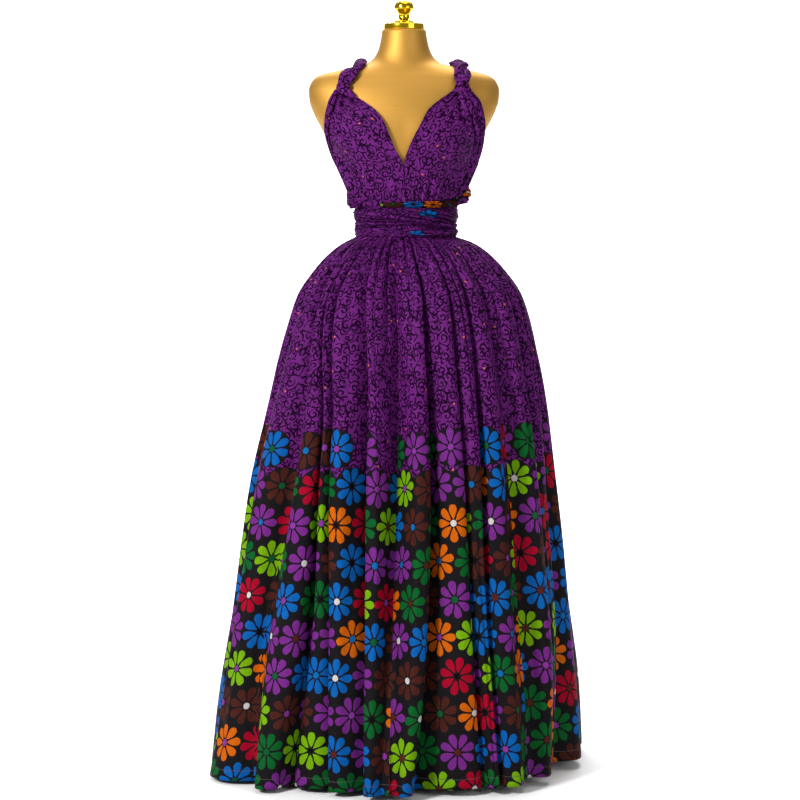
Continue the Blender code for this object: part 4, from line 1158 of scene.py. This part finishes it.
# %% Bodice panels
BODICE_BOTTOM = 1.0990
BODICE_SEAT = 0.0016
Edge = namedtuple("Edge", "z inner outer stand")
BODICE_LEFT = table(Edge, [
    (BODICE_BOTTOM, 0.006, -0.093, 0.0),
    (1.117, 0.005, -0.098, 0.0),
    (1.14, 0.003, -0.106, 0.003),
    (1.17, 0.001, -0.117, 0.004),
    (1.203, -0.003, -0.131, 0.003),
    (1.232, -0.018, -0.1405, 0.002),
    (1.256, -0.028, -0.145, 0.001),
    (1.28, -0.038, -0.147, 0.0),
    (1.304, -0.056, -0.145, 0.0),
    (1.322, -0.08, -0.14, 0.0),
    (1.334, -0.1, -0.133, 0.0),
    (1.342, -0.107, -0.128, 0.0),
])
BODICE_RIGHT = table(Edge, [
    (BODICE_BOTTOM, -0.006, 0.1, 0.0),
    (1.117, -0.005, 0.1045, 0.0),
    (1.14, -0.004, 0.112, 0.005),
    (1.17, -0.002, 0.121, 0.009),
    (1.203, 0.0, 0.134, 0.011),
    (1.232, 0.009, 0.143, 0.006),
    (1.256, 0.02, 0.151, 0.002),
    (1.28, 0.033, 0.152, 0.001),
    (1.304, 0.046, 0.15, 0.0),
    (1.322, 0.066, 0.146, 0.0),
    (1.334, 0.084, 0.137, 0.0),
    (1.343, 0.096, 0.129, 0.0),
])
# A crease on a panel: its share of the way from the V edge to the outer edge at the top, the
# middle and the bottom of its run, the heights it runs between, how deep and how wide
Crease = namedtuple("Crease", "top middle bottom high low deep wide")
LEFT_CREASES = table(Crease, [
    (0.55, 0.62, 0.7, 1.335, 1.27, 0.0022, 0.03),
    (0.8, 0.86, 0.9, 1.338, 1.24, 0.0028, 0.028),
    (0.3, 0.24, 0.2, 1.335, 1.29, 0.0018, 0.03),
    (0.93, 0.95, 0.9, 1.3, 1.18, 0.002, 0.03),
    (0.72, 0.66, 0.6, 1.215, 1.11, 0.003, 0.03),
    (0.86, 0.8, 0.74, 1.235, 1.11, 0.0032, 0.028),
    (0.97, 0.92, 0.87, 1.225, 1.11, 0.0026, 0.024),
    (0.52, 0.5, 0.47, 1.185, 1.11, 0.0024, 0.03),
    (0.36, 0.36, 0.35, 1.175, 1.11, 0.0022, 0.026),
    (0.2, 0.22, 0.23, 1.2, 1.11, 0.002, 0.028),
    (0.08, 0.11, 0.12, 1.165, 1.11, 0.0018, 0.022),
])
RIGHT_CREASES = table(Crease, [
    (0.62, 0.8, 0.86, 1.338, 1.205, 0.004, 0.03),
    (0.8, 0.91, 0.95, 1.339, 1.18, 0.0046, 0.026),
    (0.45, 0.52, 0.6, 1.337, 1.262, 0.0024, 0.032),
    (0.25, 0.24, 0.22, 1.335, 1.286, 0.0018, 0.03),
    (0.7, 0.72, 0.72, 1.3, 1.22, 0.002, 0.04),
    (0.95, 0.9, 0.84, 1.215, 1.11, 0.0034, 0.026),
    (0.82, 0.77, 0.72, 1.21, 1.11, 0.0032, 0.028),
    (0.66, 0.62, 0.58, 1.195, 1.11, 0.0026, 0.03),
    (0.48, 0.47, 0.44, 1.17, 1.11, 0.0022, 0.026),
    (0.3, 0.31, 0.31, 1.185, 1.11, 0.0022, 0.028),
    (0.14, 0.16, 0.17, 1.16, 1.11, 0.0018, 0.022),
])
BODICE_PAD = 0.0042
TOP_GATHERS = 7.0
TOP_GATHER_DEPTH = 0.0034
WAIST_GATHERS = 13.0
WAIST_GATHER_DEPTH = 0.0040
GATHER_SHARPNESS = 3.0
BODICE_ROWS = 130
BODICE_COLUMNS = 110
HEM_WIDTH = 0.0065


def bodice_panel(name, edges, creases, laps_over, print_place):
    """Cloth over one side of the bust, gathered at the waist and at the shoulder."""
    top = edges[-1].z
    z = np.linspace(top, BODICE_BOTTOM, BODICE_ROWS)[:, None]
    t = np.linspace(0, 1, BODICE_COLUMNS)[None, :]
    shape = read_all(column_curves(edges), z)
    inner = form_angle(shape["inner"], z)
    outer = form_angle(shape["outer"], z)
    angle = inner + (outer - inner) * t
    spread = np.linalg.norm(form_point(z, outer) - form_point(z, inner), axis=-1)
    # The panel stands off the bust, and its gathers are cut into it at the rope and at the waist
    lift = BODICE_SEAT + BAND_WALL + BODICE_PAD + shape["stand"] * np.clip(2 * t - 1, 0, 1) ** 2
    inside_edge = np.clip((1 - t) / 0.05, 0, 1)
    near_top = np.clip((z - (top - 0.045)) / 0.045, 0, 1) ** 1.3
    near_waist = np.clip((1.190 - z) / 0.060, 0, 1) ** 1.2
    under_sash = np.clip((z - 1.105) / 0.02, 0.3, 1)
    top_relief = crease_relief(TOP_GATHERS * t + 0.3, GATHER_SHARPNESS)
    lift = lift - TOP_GATHER_DEPTH * inside_edge * near_top * top_relief
    waist_relief = crease_relief(WAIST_GATHERS * t + 0.2 * np.sin(30 * z), GATHER_SHARPNESS)
    lift = lift - WAIST_GATHER_DEPTH * inside_edge * near_waist * under_sash * waist_relief
    # Long creases, each a trough with a soft ridge on both sides
    for crease in creases:
        middle = (crease.high + crease.low) / 2
        path = curve((crease.low, middle, crease.high), (crease.bottom, crease.middle, crease.top))(z)
        run = np.clip((crease.high + 0.012 - z) / 0.02, 0, 1)
        run = run * np.clip((z - crease.low + 0.006) / 0.035, 0, 1)
        reach = (t - path) / crease.wide
        strength = crease.deep * run * under_sash * inside_edge
        lift = lift - 1.5 * strength * np.exp(-reach ** 2)
        lift = lift + 0.6 * strength * np.exp(-((np.abs(reach) - 1.9) / 0.8) ** 2)
    lift = lift + 0.0005 * np.sin(21 * z + 5 * t) + 0.0004 * np.sin(47 * z - 9 * t)
    # The narrow hem along the V is double cloth with a line of stitches that pulls it in
    from_edge = t * spread
    hem = np.clip(1 - np.abs(from_edge - HEM_WIDTH) / 0.0012, 0, 1)
    lift = lift + 0.0006 * (from_edge < HEM_WIDTH) - 0.0007 * hem
    lift = np.maximum(lift, BODICE_SEAT + 0.0009)
    if laps_over:
        lift = lift + 0.0024 * np.clip(1.5 - t / 0.12, 0, 1)
    points = form_point(z, angle) + form_normal(z, angle) * lift[..., None]
    drawn_in = 1.1 + 0.45 * np.clip((1.28 - z) / 0.18, 0, 1)
    u = print_place[0] + np.sign(shape["outer"]) * run_along(form_point(z, angle), 1) * drawn_in
    lengths = run_along(points[::-1])[::-1]
    v = print_place[1] + lengths
    if edges[0].outer < 0:
        points, u, v = points[:, ::-1], u[:, ::-1], v[:, ::-1]
    piece = cloth_sheet(name, points, u, u, v, replaces=name)


bodice_panel("bodice_left", BODICE_LEFT, LEFT_CREASES, True, (0.20, 0.72))
bodice_panel("bodice_right", BODICE_RIGHT, RIGHT_CREASES, False, (1.10, 0.72))

# %% [markdown]
# ## Rolled folds on the bodice
# Where the strap is drawn together below the shoulder, some of its cloth stands up in soft rolls
# that run down from the rope and flatten out beside the bust. Each is a band like the sash's, much
# narrower, that lies on the panel. The print on it comes from the hidden part of the strap.

# %% Rolled folds beside the ropes
Roll = namedtuple("Roll", "x z width thick lift")
ROLLS = {
    "bodice_left_fold": table(Roll, [
        (-0.129, 1.344, 0.007, 0.003, 0.006),
        (-0.124, 1.3425, 0.015, 0.009, 0.0064),
        (-0.113, 1.3385, 0.018, 0.011, 0.0066),
        (-0.101, 1.333, 0.014, 0.008, 0.0062),
        (-0.094, 1.329, 0.006, 0.002, 0.006),
    ]),
    "bodice_left_roll": table(Roll, [
        (-0.129, 1.343, 0.009, 0.005, 0.005),
        (-0.1385, 1.318, 0.014, 0.009, 0.0044),
        (-0.143, 1.285, 0.013, 0.009, 0.004),
        (-0.14, 1.248, 0.012, 0.008, 0.004),
        (-0.129, 1.205, 0.011, 0.007, 0.0042),
        (-0.113, 1.16, 0.009, 0.005, 0.0046),
        (-0.102, 1.13, 0.006, 0.002, 0.005),
    ]),
    "bodice_right_roll_1": table(Roll, [
        (0.119, 1.344, 0.009, 0.005, 0.0056),
        (0.133, 1.32, 0.012, 0.01, 0.0046),
        (0.143, 1.29, 0.012, 0.011, 0.004),
        (0.144, 1.256, 0.012, 0.01, 0.0046),
        (0.137, 1.22, 0.011, 0.008, 0.0076),
        (0.127, 1.18, 0.007, 0.003, 0.011),
    ]),
    "bodice_right_roll_2": table(Roll, [
        (0.112, 1.344, 0.008, 0.005, 0.0058),
        (0.121, 1.32, 0.011, 0.009, 0.0046),
        (0.129, 1.288, 0.011, 0.009, 0.0042),
        (0.131, 1.25, 0.01, 0.008, 0.0042),
        (0.127, 1.205, 0.007, 0.003, 0.006),
    ]),
    "bodice_right_roll_3": table(Roll, [
        (0.105, 1.343, 0.006, 0.004, 0.0056),
        (0.11, 1.325, 0.01, 0.008, 0.0046),
        (0.117, 1.298, 0.009, 0.007, 0.0042),
        (0.119, 1.264, 0.006, 0.002, 0.0044),
    ]),
}
ROLL_STEP = 0.0022
ROLL_LIFT = 0.0016
ROLL_CREASES = Creases(1.4, 0.8, 0.30, 4.0)


def bodice_roll(name, places, print_place):
    """A fold of the same cloth that stands up from the panel as a soft roll."""
    corners = np.array([form_point(place.z, form_angle(place.x, place.z)) for place in places])
    travel = run_along(corners)
    along = np.linspace(0, travel[-1], round(travel[-1] / ROLL_STEP))
    value = read_all(column_curves(places, travel), along)
    angle = form_angle(value["x"], value["z"])
    outward = form_normal(value["z"], angle)
    centres = form_point(value["z"], angle) + outward * (value["lift"][:, None] + ROLL_LIFT)
    panel = "bodice_left" if "left" in name else "bodice_right"
    lay_band(name, centres, outward, value["width"], value["thick"], ROLL_CREASES, print_place)


for order, (name, places) in enumerate(ROLLS.items()):
    bodice_roll(name, places, (0.31 * order, 0.86 + 0.04 * order))

# %% [markdown]
# ## Ropes over the shoulders
# Above each cup the strap is twisted into a tight two-strand rope that runs over the shoulder and
# opens again on the back. The strands are one surface: the section swells and shrinks twice on the
# way round, and turns as it goes along. Finer folds of the same cloth wind with it.

# %% Twisted ropes
Turn = namedtuple("Turn", "x z side half_width half_thick")
ROPE_LEFT = table(Turn, [
    (-0.1175, 1.336, 1, 0.0118, 0.0036),
    (-0.118, 1.3426, 1, 0.0105, 0.0055),
    (-0.117, 1.352, 1, 0.012, 0.0068),
    (-0.109, 1.367, 1, 0.0115, 0.0065),
    (-0.093, 1.383, 1, 0.0095, 0.005),
    (-0.085, 1.3925, 1, 0.009, 0.0045),
    (-0.0835, 1.3925, -1, 0.009, 0.0045),
    (-0.0815, 1.38, -1, 0.0105, 0.0055),
    (-0.075, 1.3685, -1, 0.011, 0.006),
])
ROPE_RIGHT = table(Turn, [
    (0.1125, 1.3375, 1, 0.0155, 0.0036),
    (0.1125, 1.3444, 1, 0.013, 0.0055),
    (0.1125, 1.354, 1, 0.013, 0.007),
    (0.112, 1.367, 1, 0.0125, 0.007),
    (0.113, 1.38, 1, 0.0115, 0.0062),
    (0.111, 1.388, 1, 0.011, 0.0058),
    (0.102, 1.389, -1, 0.011, 0.0058),
    (0.093, 1.379, -1, 0.011, 0.006),
    (0.083, 1.3675, -1, 0.011, 0.006),
])
ROPE_SEAT = 0.0006
STRAND_DEPTH = 0.46
ROPE_FOLD_DEPTH = 0.11
ROPE_FULLNESS = 1.38
ROPE_STATIONS = 170
ROPE_SIDES = 72
seat_tree = BVHTree.FromObject(torso_satin, bpy.context.evaluated_depsgraph_get())


def twisted_rope(name, path, turns, print_place):
    """Twisted strap along its path over the shoulder."""
    # The rope's middle line runs close over the torso, half its own thickness away
    guide = np.array([
        form_point(turn.z, form_angle(turn.x, turn.z, turn.side))
        + form_normal(turn.z, form_angle(turn.x, turn.z, turn.side)) * (turn.half_thick + SEAT)
        for turn in path
    ])
    travel = run_along(guide)
    place = np.linspace(0, travel[-1], ROPE_STATIONS)
    line = np.stack([curve(travel, guide[:, axis])(place) for axis in range(3)], -1)
    value = read_all(column_curves(path, travel), place)
    half_width = ROPE_FULLNESS * value["half_width"]
    half_thick = ROPE_FULLNESS * value["half_thick"]
    seats = np.array([seat_tree.find_nearest(Vector(point + AXIS))[0] for point in line]) - AXIS
    outward = unit(line - seats)
    line = seats + outward * (half_thick + ROPE_SEAT)[:, None]
    along = np.gradient(line, axis=0)
    along = unit(along - outward * (along * outward).sum(1, keepdims=True))
    across = np.cross(along, outward)
    share = place / travel[-1]
    turn = np.linspace(0, 2 * math.pi, ROPE_SIDES + 1)[:, None]
    wind = turn - 2 * math.pi * turns * share[None, :]
    # Two strands, finer folds that wind with them, and ends that close
    swell = 1 - STRAND_DEPTH * (0.5 - 0.5 * np.cos(2 * wind)) ** 1.5
    folds = ROPE_FOLD_DEPTH * np.abs(np.cos(3.5 * wind + 0.6 * np.sin(12 * share))) ** 5
    end_taper = np.clip(np.minimum(place, travel[-1] - place) / 0.0016, 0.08, 1) ** 0.5
    size = (swell - folds) * end_taper[None, :]
    sideways = across[None] * (half_width[None, :] * size * np.cos(turn))[..., None]
    rise = outward[None] * (half_thick[None, :] * size * np.sin(turn))[..., None]
    points = (line[None] + sideways + rise).transpose(1, 0, 2)[:, ::-1]
    points[:, -1] = points[:, 0]
    outline = run_along(points, 1)
    u = print_place[0] + outline + np.clip(turns, -1, 1) * 0.5 * place[:, None]
    v = print_place[1] + np.broadcast_to(place[:, None], outline.shape)
    piece = cloth_sheet(name, points, u, u, v, closed=True, replaces=name)


twisted_rope("shoulder_rope_left", ROPE_LEFT, 2.2, (0.40, 0.95))
twisted_rope("shoulder_rope_right", ROPE_RIGHT, -2.2, (0.90, 0.95))

# %% [markdown]
# ## The knot and the loose ends
# At the back of the waist the straps are tied once, and their ends hang down over the skirt. The
# photograph doesn't show them, so they are kept short and plain: a small pleated knot and two
# ends that open out as they fall.

# %% Knot
KNOT_HALF = (0.0210, 0.0125, 0.0220)
KNOT_HEIGHT = 1.0857
POLE_GAP = 0.04
KNOT_SEAT_Z = 1.085
knot_back = form_point(KNOT_SEAT_Z, math.pi)
knot_out = SEAT + BAND_WALL + 2 * SEAM_GAP + KNOT_HALF[1]
knot_middle = np.array([knot_back[0], knot_back[1] + knot_out, KNOT_HEIGHT])
polar = np.linspace(POLE_GAP, math.pi - POLE_GAP, 60)[:, None]
knot_turn = np.linspace(0, 2 * math.pi, 97)[None, :]
level = np.sin(polar)
ball = np.broadcast_arrays(level * np.cos(knot_turn), level * np.sin(knot_turn), np.cos(polar))
ball = np.stack(ball, -1)
squared = np.sign(ball) * np.abs(ball) ** 0.7
pleats = crease_relief(6 * knot_turn / math.pi + 1.2 * np.cos(polar), 4.0)
pleats = pleats * np.sin(polar) * np.clip(np.minimum(knot_turn, 2 * math.pi - knot_turn) / 0.3, 0, 1)
knot_points = knot_middle + squared * KNOT_HALF * (1 - 0.13 * pleats)[..., None]
knot_points[:, -1] = knot_points[:, 0]
knot_u = run_along(knot_points, 1)
knot_v = np.broadcast_to(0.95 - 0.02 * polar, knot_u.shape)
knot = cloth_sheet("knot", knot_points, knot_u, knot_u, knot_v, closed=True, replaces="knot")

# %% Loose ends
Fall = namedtuple("Fall", "z x width lift thick")
TAIL_LEFT = table(Fall, [
    (1.0628, 0.0139, 0.017, 0.005, 0.0036),
    (1.056, 0.0145, 0.018, 0.0045, 0.0042),
    (1.044, 0.0155, 0.02, 0.004, 0.005),
    (1.01, 0.018, 0.026, 0.004, 0.0055),
    (0.94, 0.03, 0.036, 0.004, 0.0055),
    (0.86, 0.042, 0.046, 0.004, 0.006),
    (0.77, 0.05, 0.054, 0.004, 0.0065),
])
TAIL_RIGHT = table(Fall, [
    (1.0628, -0.0059, 0.017, 0.005, 0.0036),
    (1.056, -0.0065, 0.018, 0.0045, 0.0042),
    (1.044, -0.008, 0.02, 0.004, 0.005),
    (1.01, -0.014, 0.026, 0.004, 0.0055),
    (0.94, -0.026, 0.036, 0.004, 0.0055),
    (0.84, -0.036, 0.048, 0.004, 0.0062),
    (0.72, -0.042, 0.056, 0.004, 0.007),
])


def loose_end(name, falls, print_place):
    """End of a strap, gathered at the knot and opening as it falls over the skirt."""
    z = np.linspace(falls[0].z, falls[-1].z, 120)
    value = read_all(column_curves(falls, sign=-1), z)
    widest = skirt_plan(np.full(len(z), math.pi / 2), z, 0.0)[:, 0]
    angle = math.pi - np.copysign(np.arcsin(np.abs(value["x"]) / widest), value["x"])
    centres = skirt_plan(angle, z, value["lift"])
    along = unit(np.gradient(centres, axis=0))
    outward = unit(np.cross(np.array([1.0, 0.0, 0.0]), along))
    outward = outward * np.sign(outward[:, 1:2])
    lay_band(name, centres, outward, value["width"], value["thick"], Creases(3.2, 0.6, 0.55, 3.0),
             print_place)


loose_end("tail_left", TAIL_LEFT, (0.60, 0.46))
loose_end("tail_right", TAIL_RIGHT, (1.30, 0.93))
